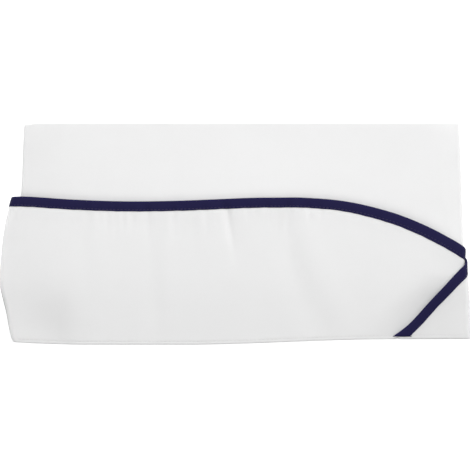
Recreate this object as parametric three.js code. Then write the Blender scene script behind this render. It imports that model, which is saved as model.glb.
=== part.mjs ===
// A cook's overseas cap of white cotton with navy binding, folded flat and lying on its left side.
//
// X runs from the back of the cap to its front, Y from the hem to the top edge and Z up from the
// table. The cloth is worked out in cap coordinates: a station counts from the rearmost point of the
// cuff, and a height from the lowest point of the hem. The last lines move the origin to the middle
// of the base. All sizes are in millimetres.

import * as THREE from "three";

// ---- Driving dimensions ----

const CAP_HEIGHT = 141; // lowest point of the hem to the top edge
const CLOTH = 1.0; // a wall of the crown or of the cuff
const TAPE_WIDTH = 6.35; // quarter-inch binding
const TAPE_THICKNESS = 1.4; // folded tape with the raw edge of the cuff inside it
const GAP = 0.3; // between pieces that are sewn or pressed together
const CROSSING_GAP = 0.2; // between the two ends of the binding where they cross

// Crown: outer faces of its back and front folds, at the hem and at the top edge.
const CROWN_BACK = { hem: 10.8, top: 15.5 };
const CROWN_FRONT = { hem: 298.3, top: 293.6 };
const TOP_CORNER = { reach: 11, drop: 1.4, power: 1.5 }; // the top edge rounds down at the back
const SEAM_LIFT = 1.0; // the crown's raw edge ends this far above the hem

// The front fold is drawn in a little where the two ends of the binding cross.
const CROSSING = { height: 49, length: 10, inset: 1.2 };

// Gusset: the boat-shaped top panel, folded inwards along its middle.
const GUSSET_DEPTH = 30; // half the width of the panel at its middle
const GUSSET_END_DEPTH = 4;
const GUSSET_END = 15; // its ends stop this far short of the crown's folds
const GUSSET_FULLNESS = 2.4; // how long the panel stays wide: 1 is a lozenge, 4 nearly a strip

// Hem: it rises from the middle towards the front, and a little towards the back.
const HEM_FRONT = { from: 118, to: 248, rise: 3.5 };
const HEM_BACK = { from: 58, rise: 1.1, reach: 44 };

// The cuff's back fold stands in from the rearmost point by this much.
const CUFF_BACK = [
  { height: 0, inset: 9.4 },
  { height: 4, inset: 7.1 },
  { height: 20, inset: 3.9 },
  { height: 36, inset: 0.2 },
  { height: 46, inset: 0.0 },
  { height: 61, inset: 1.2 },
  { height: 77, inset: 3.2 },
  { height: 95, inset: 7.4 },
];
// Below this height the right cuff's fold lies inside the left one's, by up to inset.
const BACK_STEP = { height: 38, inset: 0.8, power: 0.7 };

// Free edge of the binding on the right side. Past the front fold it runs on round the crown.
const RIGHT_EDGE = [
  { station: 4, height: 94.2 },
  { station: 17, height: 94.5 },
  { station: 48, height: 92.5 },
  { station: 80, height: 91.3 },
  { station: 115, height: 91.8 },
  { station: 160, height: 93.8 },
  { station: 195, height: 94.0 },
  { station: 222, height: 91.3 },
  { station: 250, height: 84.7 },
  { station: 270, height: 77.0 },
  { station: 288, height: 67.8 },
  { station: 297, height: 62.2 },
  { station: 314, height: 49.2 },
];
// Free edge on the left side. Past the front fold it slants down the right side to the hem.
const LEFT_EDGE = [
  { station: 4, height: 94.0 },
  { station: 17, height: 94.3 },
  { station: 48, height: 92.3 },
  { station: 80, height: 91.4 },
  { station: 115, height: 91.8 },
  { station: 160, height: 93.2 },
  { station: 195, height: 92.6 },
  { station: 222, height: 88.9 },
  { station: 250, height: 80.6 },
  { station: 270, height: 72.2 },
  { station: 288, height: 62.4 },
  { station: 300.5, height: 53.4 },
  { station: 310.6, height: 44.4 },
  { station: 326.2, height: 29.4 },
  { station: 340.4, height: 14.4 },
  { station: 346.6, height: 9.2 },
  { station: 352.6, height: 4.9 },
];
const LAP_START = 12; // the row of LEFT_EDGE from which it lies on the right side
const EDGE_AT_BACK = 94; // height of the edges where they meet at the back fold
const EDGE_AT_FRONT = 62; // height of the right edge where it meets the front fold
const RIGHT_END = 306; // the right half of the cuff ends here, round the front fold
const LAP_TIP = 352; // and the left half here
const LAP_TAPE_END = 4.9; // the lap's binding is cut off at this height

// How far the right wall of the crown stands off the left one, away from the folds.
const FULLNESS = [
  { height: 0, opening: 4.8 },
  { height: 20, opening: 5.4 },
  { height: 45, opening: 6.1 },
  { height: 90, opening: 5.9 },
  { height: 141, opening: 4.4 },
];
// The wall reaches that opening over these lengths from the back fold and from the front fold.
const RISE = [
  { height: 0, back: 42, front: 88 },
  { height: 20, back: 41, front: 62 },
  { height: 40, back: 41, front: 33 },
  { height: 60, back: 40, front: 25 },
  { height: 85, back: 37, front: 22 },
  { height: 141, back: 30, front: 12 },
];
// The cap lies flatter at the back of its hem. Ahead of its middle the hollow ends sooner.
const HOLLOW = { station: 28, height: -3, lean: 0, width: 27, length: 26, depth: 2.2, crease: 1.5 };

// How far the right cuff stands off the crown, and how far up from the hem and out from the folds
// it comes away.
const CUFF_LOOSE = 2.0;
const LOOSE_UP = { from: -0.5, to: 0.35 }; // shares of the cuff's height
const LOOSE_OUT = { back: 34, front: 24 };
// Dents in the cuff: each leans forward by lean for each millimetre up. Width and length are half
// sizes, and crease is how many times sharper its front border is.
const CUFF_DENTS = [
  { station: 13.6, height: 43, lean: 0.1, width: 2.2, length: 9, depth: 0.5, crease: 1 },
  { station: 37, height: 4, lean: 0, width: 20, length: 20, depth: 1.4, crease: 2.4 },
  { station: 66, height: 88, lean: 0, width: 5, length: 16, depth: 0.4, crease: 1 },
  { station: 95, height: 82, lean: 0, width: 5, length: 22, depth: 0.5, crease: 1 },
  { station: 147, height: 78, lean: -0.25, width: 5, length: 22, depth: 0.7, crease: 1 },
];
// Soft folds, where the cuff steps up towards the front.
const CUFF_FOLDS = [
  { station: 58, height: 62, lean: 0, width: 8, length: 24, step: 0.7 },
  { station: 103, height: 40, lean: 0, width: 7.5, length: 34, step: 0.9 },
  { station: 127, height: 78, lean: 0, width: 5, length: 16, step: 0.4 },
  { station: 190, height: 64, lean: -0.15, width: 10, length: 26, step: 1.0 },
  { station: 206, height: 24, lean: -0.25, width: 12, length: 24, step: 0.9 },
];
const CLOSEST = 0.1; // the folds never press the cuff nearer to the crown than this
// Along the lapped edge the cuff beneath is pressed flat. It comes up again from this far past the
// edge, over this reach. The edge itself stands up a little.
const LAP_PRESS = { past: 1, reach: 26 };
const LAP_LIFT = { height: 0.8, reach: 7, fromFold: 14 };

// Past the cuff's edge the layers come down to the top edge, a little bowed and with a soft start.
const DESCENT = { bow: 0.3, start: [-0.1, 0.2] };

// The left wall of the crown lies on the cuff, and comes down to the table past the cuff's edge.
const WALL_DOWN = { from: 3, to: 27 }; // distances past the edge
const WALL_FLAT = { from: 8, to: 40 }; // distances from a fold
const CUFF_FLAT = { edge: [1, 12], fold: [0, 14] }; // where the left cuff comes down to the table

// Layers follow the slope of a fold near it, and run straight between.
const LEAN_BACK = 45; // over this distance from the back fold
const LEAN_FRONT = { from: 200, to: 290 };

// Section of the binding, as shares of its width from the free edge and of half its thickness.
const TAPE_SECTION = [
  { across: 0.0, outward: 0.0 },
  { across: 0.05, outward: 0.75 },
  { across: 0.18, outward: 1.0 },
  { across: 1.0, outward: 0.9 },
  { across: 1.0, outward: -0.9 },
  { across: 0.18, outward: -1.0 },
  { across: 0.05, outward: -0.75 },
];

// Where the crown's mesh is closer: this near to a fold, and from this far above the cuff's edge.
const NEAR_FOLD = 16;
const PAST_EDGE = 2;
// Columns and rows of the meshes.
const CROWN_COLUMNS = { right: 24, left: 16 };
const CROWN_ROWS = [7, 4];
const CROWN_BACK_TURN = 3;
const CROWN_BACK_COLUMNS = 5;
const CROWN_FRONT_COLUMNS = 4;
const CROWN_FRONT_TURN = 3;
const CUFF_BACK_TURN = 3;
const RIGHT_CUFF_MESH = { along: 58, round: 8, end: 1, rows: 11 };
const LEFT_CUFF_MESH = { along: 34, round: 6, end: 12, rows: 9 };
const GUSSET_COLUMNS = 22;
const LEAF_ROWS = [1, 0.7, 0.4, 0.12]; // shares of a leaf's width, from the top edge down
const FOLD_ROWS = [60, 0, -60]; // degrees round the gusset's fold
const NORMAL_STEP = 0.05; // distance over which slopes of a layer are taken

// ---- Sizes that follow from them ----

// Middle surfaces of the layers turn about one centre line at each fold.
const CROWN_TURN = CLOTH / 2 + GAP;
const CUFF_TURN = CROWN_TURN + CLOTH / 2 + GAP + TAPE_THICKNESS / 2;
const LAP_TURN_RADIUS = CUFF_TURN + TAPE_THICKNESS + CROSSING_GAP;
const CROWN_OUTER = CROWN_TURN + CLOTH / 2;
const CUFF_OUTER = CUFF_TURN + CLOTH / 2;

// Height of that centre line above the table, with the lowest layer just clear of it.
const TOP_CENTRE = CLOTH / 2 + CROWN_TURN;
const BACK_CENTRE = TAPE_THICKNESS / 2 + CUFF_TURN;
const FRONT_CENTRE = TAPE_THICKNESS / 2 + LAP_TURN_RADIUS;

// ---- Small helpers ----

const { lerp, clamp, smoothstep } = THREE.MathUtils;

/** A smooth function through the rows of a table, from column "at" to column "value". */
function through(rows, at, value) {
  const slopes = rows.map((row, i) => {
    const before = rows[Math.max(i - 1, 0)];
    const after = rows[Math.min(i + 1, rows.length - 1)];
    return (after[value] - before[value]) / (after[at] - before[at]);
  });
  return (x) => {
    const after = rows.findIndex((row) => row[at] >= x);
    const i = after < 0 ? rows.length - 2 : Math.max(after - 1, 0);
    const [a, b] = [rows[i], rows[i + 1]];
    const span = b[at] - a[at];
    const t = clamp((x - a[at]) / span, 0, 1);
    const h = t * t * (3 - 2 * t);
    const bend = t * (1 - t) * ((1 - t) * slopes[i] - t * slopes[i + 1]);
    return lerp(a[value], b[value], h) + span * bend;
  };
}

/** Rises from 0 to 1 along a parabola, and levels out there. */
const rise = (t) => {
  const s = clamp(t, 0, 1);
  return s * (2 - s);
};

/** Evenly spaced values from first to last, with count steps between them. */
const steps = (first, last, count) =>
  Array.from({ length: count + 1 }, (_, i) => lerp(first, last, i / count));

const slopeOf = (curve, x) => curve(x + 0.5) - curve(x - 0.5);

/** A bell curve of height 1 and half-width 1. */
const bell = (x) => Math.exp(-(x ** 2));

/** Where x, y lies in a dent or fold: across it in half-widths, and its fade along its length. */
function within({ station, height, lean, width, length }, x, y) {
  const up = y - height;
  return { across: (x - station - lean * up) / width, fade: bell(up / length) };
}

/** Depth of a dent at x, y. */
function dentAt(dent, x, y) {
  const { across, fade } = within(dent, x, y);
  return dent.depth * fade * bell(across > 0 ? across * dent.crease : across);
}

/** Rise of a fold at x, y: down behind its middle and up ahead of it. */
function foldAt(fold, x, y) {
  const { across, fade } = within(fold, x, y);
  return fold.step * fade * across * bell(across);
}

// ---- Outlines ----

const rightEdge = through(RIGHT_EDGE, "station", "height");
const leftEdge = through(LEFT_EDGE, "station", "height");
const cuffBack = through(CUFF_BACK, "height", "inset");
const fullness = through(FULLNESS, "height", "opening");
const backRise = through(RISE, "height", "back");
const frontRise = through(RISE, "height", "front");

const crownBackCentre = (h) =>
  lerp(CROWN_BACK.hem, CROWN_BACK.top, h / CAP_HEIGHT) + CROWN_OUTER;
const frontCentre = (h) =>
  lerp(CROWN_FRONT.hem, CROWN_FRONT.top, h / CAP_HEIGHT) -
  CROWN_OUTER -
  CROSSING.inset * bell((h - CROSSING.height) / CROSSING.length);
const cuffBackCentre = (h) => cuffBack(h) + CUFF_OUTER;

/** The right cuff's back fold, which steps in below BACK_STEP.height. */
function rightBackCentre(h) {
  const down = clamp(1 - h / BACK_STEP.height, 0, 1);
  return cuffBackCentre(h) + BACK_STEP.inset * Math.sin(Math.PI * down ** BACK_STEP.power);
}

function hem(x) {
  const toFront = smoothstep(x, HEM_FRONT.from, HEM_FRONT.to) * HEM_FRONT.rise;
  const toBack = Math.max(HEM_BACK.from - x, 0) / HEM_BACK.reach;
  return toFront + HEM_BACK.rise * toBack ** 2;
}

function crownTop(x) {
  const intoCorner = (CROWN_BACK.top + TOP_CORNER.reach - x) / TOP_CORNER.reach;
  return CAP_HEIGHT - TOP_CORNER.drop * clamp(intoCorner, 0, 1) ** TOP_CORNER.power;
}

const slant = (edge, station) => Math.hypot(1, slopeOf(edge, station));

/** The inner edge of the binding. The end of the lap's binding is cut along the hem. */
const tapeBottom = (edge, station) =>
  Math.max(edge(station) - TAPE_WIDTH * slant(edge, station), LAP_TAPE_END);

/** The height at which the cloth of a cuff ends, just below its binding. */
const clothTop = (edge, station) =>
  tapeBottom(edge, station) - GAP * slant(edge, station);

// ---- How high the layers lie ----

/**
 * Height of the folds' centre line above the table, from the back fold to the front fold. Past the
 * cuff's edge it comes down steadily to the top.
 */
function centreHeight(x, y) {
  const along = (x - crownBackCentre(y)) / (frontCentre(y) - crownBackCentre(y));
  const onCuff = lerp(BACK_CENTRE, FRONT_CENTRE, clamp(along, 0, 1));
  const edge = rightEdge(Math.min(x, frontCentre(EDGE_AT_FRONT)));
  const past = clamp((y - edge) / (CAP_HEIGHT - edge), 0, 1);
  const eased = lerp(past, rise(past), DESCENT.bow) * smoothstep(past, ...DESCENT.start);
  return lerp(onCuff, TOP_CENTRE, eased);
}

/**
 * How far the right wall stands up from its place in a closed fold. It starts to rise on the
 * outermost line of a fold: roundBack and roundFront go from 0 there to 1 where the turn ends.
 * The back fold of the layer turns about backCentre.
 */
function opening(x, y, backCentre, roundBack = 1, roundFront = 1) {
  const turn = (Math.PI / 2) * CUFF_TURN;
  const length = crownBackCentre(y) + backRise(y) - backCentre;
  const fromBack = (turn * roundBack + x - backCentre) / (turn + length);
  const fromFront = (turn * roundFront + frontCentre(y) - x) / frontRise(y);
  return (fullness(y) - dentAt(HOLLOW, x, y)) * rise(fromBack) * rise(fromFront);
}

/** How far the right cuff stands off the crown beyond its closest fit. */
function looseness(x, y) {
  const up = (y - hem(x)) / (rightEdge(x) - hem(x));
  const between = smoothstep(up, LOOSE_UP.from, LOOSE_UP.to);
  const out = smoothstep(x, 0, LOOSE_OUT.back) * smoothstep(frontCentre(y) - x, 0, LOOSE_OUT.front);
  const dents = CUFF_DENTS.reduce((sum, dent) => sum + dentAt(dent, x, y), 0);
  const folds = CUFF_FOLDS.reduce((sum, fold) => sum + foldAt(fold, x, y), 0);
  const press = rise((lapEdge(y) - x + LAP_PRESS.past) / LAP_PRESS.reach);
  return Math.max(CUFF_LOOSE - dents + folds, CLOSEST) * between * out * press;
}

/** Distance of the slanting edge of the lap from the back of the cap, at a height. */
function lapEdge(y) {
  const [top, tip] = [LEFT_EDGE[LAP_START], LEFT_EDGE[LEFT_EDGE.length - 1]];
  const share = clamp((top.height - y) / (top.height - tip.height), 0, 1);
  const station = lerp(top.station, tip.station, share);
  const fold = frontCentre(y) + frontCentre(EDGE_AT_FRONT);
  return fold + Math.PI * LAP_TURN_RADIUS - station;
}

const rightCuffLevel = (x, y) =>
  centreHeight(x, y) + CUFF_TURN + opening(x, y, rightBackCentre(y)) + looseness(x, y);

/** Height of the lap, on the right cuff: its free edge stands up a little. */
function lapLevel(x, y) {
  const free = smoothstep(frontCentre(y) - x, 0, LAP_LIFT.fromFold);
  const lift = LAP_LIFT.height * bell((x - lapEdge(y)) / LAP_LIFT.reach) * free;
  return rightCuffLevel(x, y) + LAP_TURN_RADIUS - CUFF_TURN + lift;
}

/** Height of the left wall of the crown: on the cuff, and on the table past the cuff's edge. */
function leftWallHeight(x, y) {
  const onCuff = TAPE_THICKNESS + GAP + CLOTH / 2;
  const past = smoothstep(y - leftEdge(x), WALL_DOWN.from, WALL_DOWN.to);
  const resting = lerp(onCuff, CLOTH / 2, past);
  const fold = Math.min(x - crownBackCentre(y), frontCentre(y) - x);
  const folded = centreHeight(x, y) - CROWN_TURN;
  return lerp(folded, resting, smoothstep(fold, WALL_FLAT.from, WALL_FLAT.to));
}

/** Height of the left cuff: its cloth lies on the table, and dips in only to meet the binding. */
function leftCuffHeight(x, y) {
  const toEdge = clothTop(leftEdge, x) - y;
  const toFold = Math.min(x - cuffBackCentre(y), frontCentre(y) - x);
  const inside = smoothstep(toEdge, ...CUFF_FLAT.edge) * smoothstep(toFold, ...CUFF_FLAT.fold);
  return lerp(TAPE_THICKNESS / 2, CLOTH / 2, inside);
}

// ---- Layers ----

/**
 * One layer of cloth, laid round the folds. place(station, height) gives a point of its middle
 * surface. Up to the front fold a station is the distance from the back of the cap, and past a fold
 * it counts on along the cloth.
 */
class Layer {
  constructor({ side, backCentre, backTurn, frontTurn, leanHeight, level, lapLevel }) {
    this.side = side; // 1 for the right side, on top, and -1 for the left side, beneath
    this.backCentre = backCentre;
    this.backTurn = backTurn;
    this.frontTurn = frontTurn;
    this.leanHeight = leanHeight; // stations are true distances at this height
    this.level = level; // height of the layer on its own side
    this.lapLevel = lapLevel; // and past the front fold, on the other side
  }

  /** The unrolled distance of a station at a height: near a fold it follows the fold's slope. */
  unrolled(station, h) {
    const { back, front } = this.leanHeight;
    const start = this.backCentre(back);
    const atBack = this.backCentre(h) - start;
    const atFront = frontCentre(h) - frontCentre(front);
    const nearBack = 1 - smoothstep(station, start, start + LEAN_BACK);
    const nearFront = smoothstep(station, LEAN_FRONT.from, LEAN_FRONT.to);
    return station + atBack * nearBack + atFront * nearFront;
  }

  /** How far the opening has come on, by quarters of a turn: the inner layers rise later. */
  roundShare(quarters, turn) {
    return clamp(quarters, 0, 1) ** (CUFF_TURN / turn);
  }

  /** A point of the turn round the back fold, at an angle from its end. */
  onBackTurn(angle, h) {
    const back = this.backCentre(h);
    const centre = centreHeight(back, h);
    const share = this.roundShare(1 - angle / (Math.PI / 2), this.backTurn);
    const [opened, full] =
      this.side > 0 ? [opening(back, h, back, share), opening(back, h, back)] : [0, 0];
    const out = this.level(back, h) - full - centre;
    return new THREE.Vector3(
      back - this.backTurn * Math.sin(angle),
      h,
      centre + out * Math.cos(angle) + opened,
    );
  }

  /** A point of the turn round the front fold, at an angle from its start. */
  onFrontTurn(angle, h) {
    const front = frontCentre(h);
    const quarters = angle / (Math.PI / 2);
    const share = this.roundShare(this.side > 0 ? 1 - quarters : quarters - 1, this.frontTurn);
    const opened = opening(front, h, this.backCentre(h), 1, share);
    return new THREE.Vector3(
      front + this.frontTurn * Math.sin(angle),
      h,
      centreHeight(front, h) + this.side * this.frontTurn * Math.cos(angle) + opened,
    );
  }

  place(station, h) {
    const along = this.unrolled(station, h);
    const [back, front] = [this.backCentre(h), frontCentre(h)];
    if (along < back) return this.onBackTurn((back - along) / this.backTurn, h);
    if (along <= front) return new THREE.Vector3(along, h, this.level(along, h));
    const angle = (along - front) / this.frontTurn;
    if (angle < Math.PI) return this.onFrontTurn(angle, h);
    const x = front - (along - front - Math.PI * this.frontTurn);
    return new THREE.Vector3(x, h, this.lapLevel(x, h));
  }

  /** The outward normal of the layer. */
  normal(station, h) {
    const d = NORMAL_STEP;
    const along = this.place(station + d, h).sub(this.place(station - d, h));
    const up = this.place(station, h + d).sub(this.place(station, h - d));
    return along.cross(up).multiplyScalar(this.side).normalize();
  }

  /** Station of the outermost line of the back fold. */
  get backLine() {
    return this.backCentre(this.leanHeight.back) - (Math.PI / 2) * this.backTurn;
  }

  /** Station of the outermost line of the front fold. */
  get frontLine() {
    return frontCentre(this.leanHeight.front) + (Math.PI / 2) * this.frontTurn;
  }

  /** Stations round the back fold, which stop half a gap short of its outermost line. */
  backStations(count) {
    const start = this.backLine + GAP / 2;
    return steps(start, this.backCentre(this.leanHeight.back), count).slice(0, -1);
  }

  /** Where the wall ends at a seam on the outermost line of a fold, it is cut off square. */
  seamNormal(station, h) {
    const seam = [this.backLine, this.frontLine].find((line) => Math.abs(line - station) < GAP);
    return this.normal(seam ?? station, h);
  }
}

const crownLean = { back: CAP_HEIGHT, front: EDGE_AT_FRONT };
const cuffLean = { back: EDGE_AT_BACK, front: EDGE_AT_FRONT };

const crownRight = new Layer({
  side: 1,
  backCentre: crownBackCentre,
  backTurn: CROWN_TURN,
  frontTurn: CROWN_TURN,
  leanHeight: crownLean,
  level: (x, y) => centreHeight(x, y) + CROWN_TURN + opening(x, y, crownBackCentre(y)),
});
const crownLeft = new Layer({
  side: -1,
  backCentre: crownBackCentre,
  backTurn: CROWN_TURN,
  frontTurn: CROWN_TURN,
  leanHeight: crownLean,
  level: leftWallHeight,
});
const cuffRight = new Layer({
  side: 1,
  backCentre: rightBackCentre,
  backTurn: CUFF_TURN,
  frontTurn: CUFF_TURN,
  leanHeight: cuffLean,
  level: rightCuffLevel,
  lapLevel: (x, y) => centreHeight(x, y) - CUFF_TURN,
});
const cuffLeft = new Layer({
  side: -1,
  backCentre: cuffBackCentre,
  backTurn: CUFF_TURN,
  frontTurn: LAP_TURN_RADIUS,
  leanHeight: cuffLean,
  level: leftCuffHeight,
  lapLevel,
});

// ---- Solids ----

/** A geometry from rings of points: each ring joins the next, and the first and last are closed. */
function ringsToGeometry(rings, capFaces) {
  const size = rings[0].length;
  const faces = [];
  for (let r = 0; r < rings.length - 1; r += 1)
    for (let k = 0; k < size; k += 1) {
      const [a, b] = [r * size + k, r * size + ((k + 1) % size)];
      faces.push(a, b, b + size, a, b + size, a + size);
    }
  const last = (rings.length - 1) * size;
  for (const [a, b, c] of capFaces) faces.push(a, c, b, last + a, last + b, last + c);
  const geometry = new THREE.BufferGeometry().setFromPoints(rings.flat());
  geometry.setIndex(faces);
  geometry.computeVertexNormals();
  return geometry;
}

/**
 * A wall of cloth. pointAt(column, row) and normalAt(column, row) give its middle surface, and the
 * wall is half its thickness to each side of it.
 */
function clothWall(columns, rowCount, pointAt, normalAt, thickness = CLOTH) {
  const rings = columns.map((column) => {
    const outer = [];
    const inner = [];
    for (let row = 0; row < rowCount; row += 1) {
      const point = pointAt(column, row);
      const half = normalAt(column, row).multiplyScalar(thickness / 2);
      outer.push(point.clone().add(half));
      inner.unshift(point.clone().sub(half));
    }
    return [...outer, ...inner];
  });
  const size = 2 * rowCount;
  const capFaces = [];
  for (let row = 0; row < rowCount - 1; row += 1) {
    const [a, b] = [row, size - 1 - row];
    capFaces.push([a, a + 1, b - 1], [a, b - 1, b]);
  }
  return ringsToGeometry(rings, capFaces);
}

/** Turns a geometry's faces round. */
function insideOut(geometry) {
  const index = geometry.getIndex().array;
  for (let i = 0; i < index.length; i += 3)
    [index[i + 1], index[i + 2]] = [index[i + 2], index[i + 1]];
  geometry.computeVertexNormals();
  return geometry;
}

/** A wall on a layer, between a lower and an upper line. Extra lines may lie between them. */
function layerWall(layer, stations, lines, counts) {
  const ends = [stations[0], stations[stations.length - 1]];
  const normalAt = (station, h) =>
    ends.includes(station) ? layer.seamNormal(station, h) : layer.normal(station, h);
  const heightsAt = (station) =>
    counts.flatMap((count, i) => {
      const band = steps(lines[i](station), lines[i + 1](station), count);
      return i === counts.length - 1 ? band : band.slice(0, -1);
    });
  const rowCount = counts.reduce((sum, count) => sum + count, 1);
  const wall = clothWall(
    stations.map((station) => ({ station, heights: heightsAt(station) })),
    rowCount,
    ({ station, heights }, row) => layer.place(station, heights[row]),
    ({ station, heights }, row) => normalAt(station, heights[row]),
  );
  return layer.side > 0 ? insideOut(wall) : wall;
}

/** A side of the crown, from the back seam to the front seam, with closer columns near them. */
function crownSide(layer, edge, columnCount) {
  const front = frontCentre(EDGE_AT_FRONT);
  const start = crownBackCentre(CAP_HEIGHT);
  const stations = [
    ...layer.backStations(CROWN_BACK_TURN),
    ...steps(start, start + NEAR_FOLD, CROWN_BACK_COLUMNS).slice(0, -1),
    ...steps(start + NEAR_FOLD, front - NEAR_FOLD, columnCount).slice(0, -1),
    ...steps(front - NEAR_FOLD, front, CROWN_FRONT_COLUMNS).slice(0, -1),
    ...steps(front, layer.frontLine - GAP / 2, CROWN_FRONT_TURN),
  ];
  const lines = [(x) => hem(x) + SEAM_LIFT, (x) => edge(x) + PAST_EDGE, crownTop];
  return layerWall(layer, stations, lines, CROWN_ROWS);
}

/** The top panel, folded along its middle into a pleat between the two sides. */
function gusset() {
  const [start, end] = [
    crownBackCentre(CAP_HEIGHT) + GUSSET_END,
    frontCentre(CAP_HEIGHT) - GUSSET_END,
  ];
  const step = CLOTH + GAP;
  const turn = CROWN_TURN;
  const foldLine = (x) => {
    const fromMiddle = Math.abs((2 * (x - start)) / (end - start) - 1);
    const share = 1 - fromMiddle ** GUSSET_FULLNESS;
    return crownTop(x) - GUSSET_END_DEPTH - (GUSSET_DEPTH - GUSSET_END_DEPTH) * share;
  };
  const leftLeaf = (x, y) => crownLeft.level(x, y) + step;
  const rightLeaf = (x, y) => {
    const fold = foldLine(x);
    const up = (y - fold) / (crownTop(x) - fold);
    const atTop = crownRight.level(x, crownTop(x)) - step;
    return lerp(leftLeaf(x, y) + 2 * turn, atTop, clamp(up, 0, 1));
  };
  // Rows run down the right leaf, round the fold and up the left leaf.
  const [onFold, onLeftLeaf] = [LEAF_ROWS.length, LEAF_ROWS.length + FOLD_ROWS.length];
  const lastRow = onLeftLeaf + LEAF_ROWS.length - 1;
  const point = (x, row) => {
    const fold = foldLine(x) + turn;
    const onLeaf = (share, leaf) => {
      const y = lerp(fold, crownTop(x), share);
      return new THREE.Vector3(x, y, leaf(x, y));
    };
    if (row < onFold) return onLeaf(LEAF_ROWS[row], rightLeaf);
    if (row >= onLeftLeaf) return onLeaf(LEAF_ROWS[lastRow - row], leftLeaf);
    const angle = THREE.MathUtils.degToRad(FOLD_ROWS[row - onFold]);
    const centre = leftLeaf(x, fold) + turn;
    return new THREE.Vector3(
      x,
      fold - turn * Math.cos(angle),
      centre + turn * Math.sin(angle),
    );
  };
  const normal = (x, row) => {
    const along = point(x + NORMAL_STEP, row).sub(point(x - NORMAL_STEP, row));
    const across = point(x, Math.min(row + 1, lastRow)).sub(point(x, Math.max(row - 1, 0)));
    return along.cross(across).normalize();
  };
  return insideOut(clothWall(steps(start, end, GUSSET_COLUMNS), lastRow + 1, point, normal));
}

/** Stations of a cuff's columns: round the back fold, along its side, round the front, and on. */
function cuffStations(layer, mesh, end) {
  const front = frontCentre(EDGE_AT_FRONT);
  const turned = front + Math.PI * layer.frontTurn;
  return [
    ...layer.backStations(CUFF_BACK_TURN),
    ...steps(layer.backCentre(layer.leanHeight.back), front, mesh.along).slice(0, -1),
    ...steps(front, turned, mesh.round).slice(0, -1),
    ...steps(turned, end, mesh.end),
  ];
}

const rightCuffStations = cuffStations(cuffRight, RIGHT_CUFF_MESH, RIGHT_END);
const leftCuffStations = cuffStations(cuffLeft, LEFT_CUFF_MESH, LAP_TIP);

/** The right half of the cuff. Its front end turns round the crown and ends beneath the lap. */
function rightCuff() {
  const lines = [hem, (x) => clothTop(rightEdge, x)];
  return layerWall(cuffRight, rightCuffStations, lines, [RIGHT_CUFF_MESH.rows]);
}

/** The left half of the cuff. Its front end laps round the crown on to the right side. */
function leftCuff() {
  const lines = [hem, (x) => clothTop(leftEdge, x)];
  return layerWall(cuffLeft, leftCuffStations, lines, [LEFT_CUFF_MESH.rows]);
}

/**
 * The binding: one tape along both halves of the cuff. It starts in the front fold beneath the lap,
 * runs back along the right side, round the back fold and forward along the left side, and then over
 * the front fold and down the right side to the hem.
 */
function binding() {
  const ring = (layer, edge, station) =>
    TAPE_SECTION.map(({ across, outward }) => {
      const h = lerp(edge(station), tapeBottom(edge, station), across);
      const normal = layer.normal(station, h);
      return layer.place(station, h).addScaledVector(normal, (outward * TAPE_THICKNESS) / 2);
    });
  const right = rightCuffStations.toReversed();
  const rings = [
    ...right.map((station) => ring(cuffRight, rightEdge, station)),
    ...leftCuffStations.map((station) => ring(cuffLeft, leftEdge, station)),
  ];
  const capFaces = TAPE_SECTION.slice(2).map((_, i) => [0, i + 1, i + 2]);
  return insideOut(ringsToGeometry(rings, capFaces));
}

// ---- Materials and assembly ----

const whiteCotton = new THREE.MeshStandardMaterial({
  name: "white_cotton",
  color: 0xefefee,
  roughness: 0.9,
  metalness: 0,
});
const navyTape = new THREE.MeshStandardMaterial({
  name: "navy_tape",
  color: 0x241f48,
  roughness: 0.8,
  metalness: 0,
});

function named(name, geometry, material) {
  const mesh = new THREE.Mesh(geometry, material);
  mesh.name = name;
  return mesh;
}

const cap = new THREE.Group();
cap.add(
  named("crown_side_right", crownSide(crownRight, rightEdge, CROWN_COLUMNS.right), whiteCotton),
  named("crown_side_left", crownSide(crownLeft, leftEdge, CROWN_COLUMNS.left), whiteCotton),
  named("crown_gusset", gusset(), whiteCotton),
  named("cuff_right", rightCuff(), whiteCotton),
  named("cuff_left", leftCuff(), whiteCotton),
  named("cuff_binding", binding(), navyTape),
);

const extent = new THREE.Box3().setFromObject(cap);
const middle = extent.getCenter(new THREE.Vector3());
cap.position.set(-middle.x, -middle.y, -extent.min.z);

export default cap;
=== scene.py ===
"""A cook's overseas cap of white cotton with navy binding, folded flat on a pale studio floor.

The cloth is worked out in cap coordinates, in millimetres. A station counts from the rearmost
point of the cuff towards the front of the cap, and on round the front fold. A height counts from
the lowest point of the hem towards the top edge. CapShape turns both into the frame's metres.
"""

import logging
import math
from collections.abc import Callable, Sequence
from dataclasses import dataclass, field, replace
from enum import Enum

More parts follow.
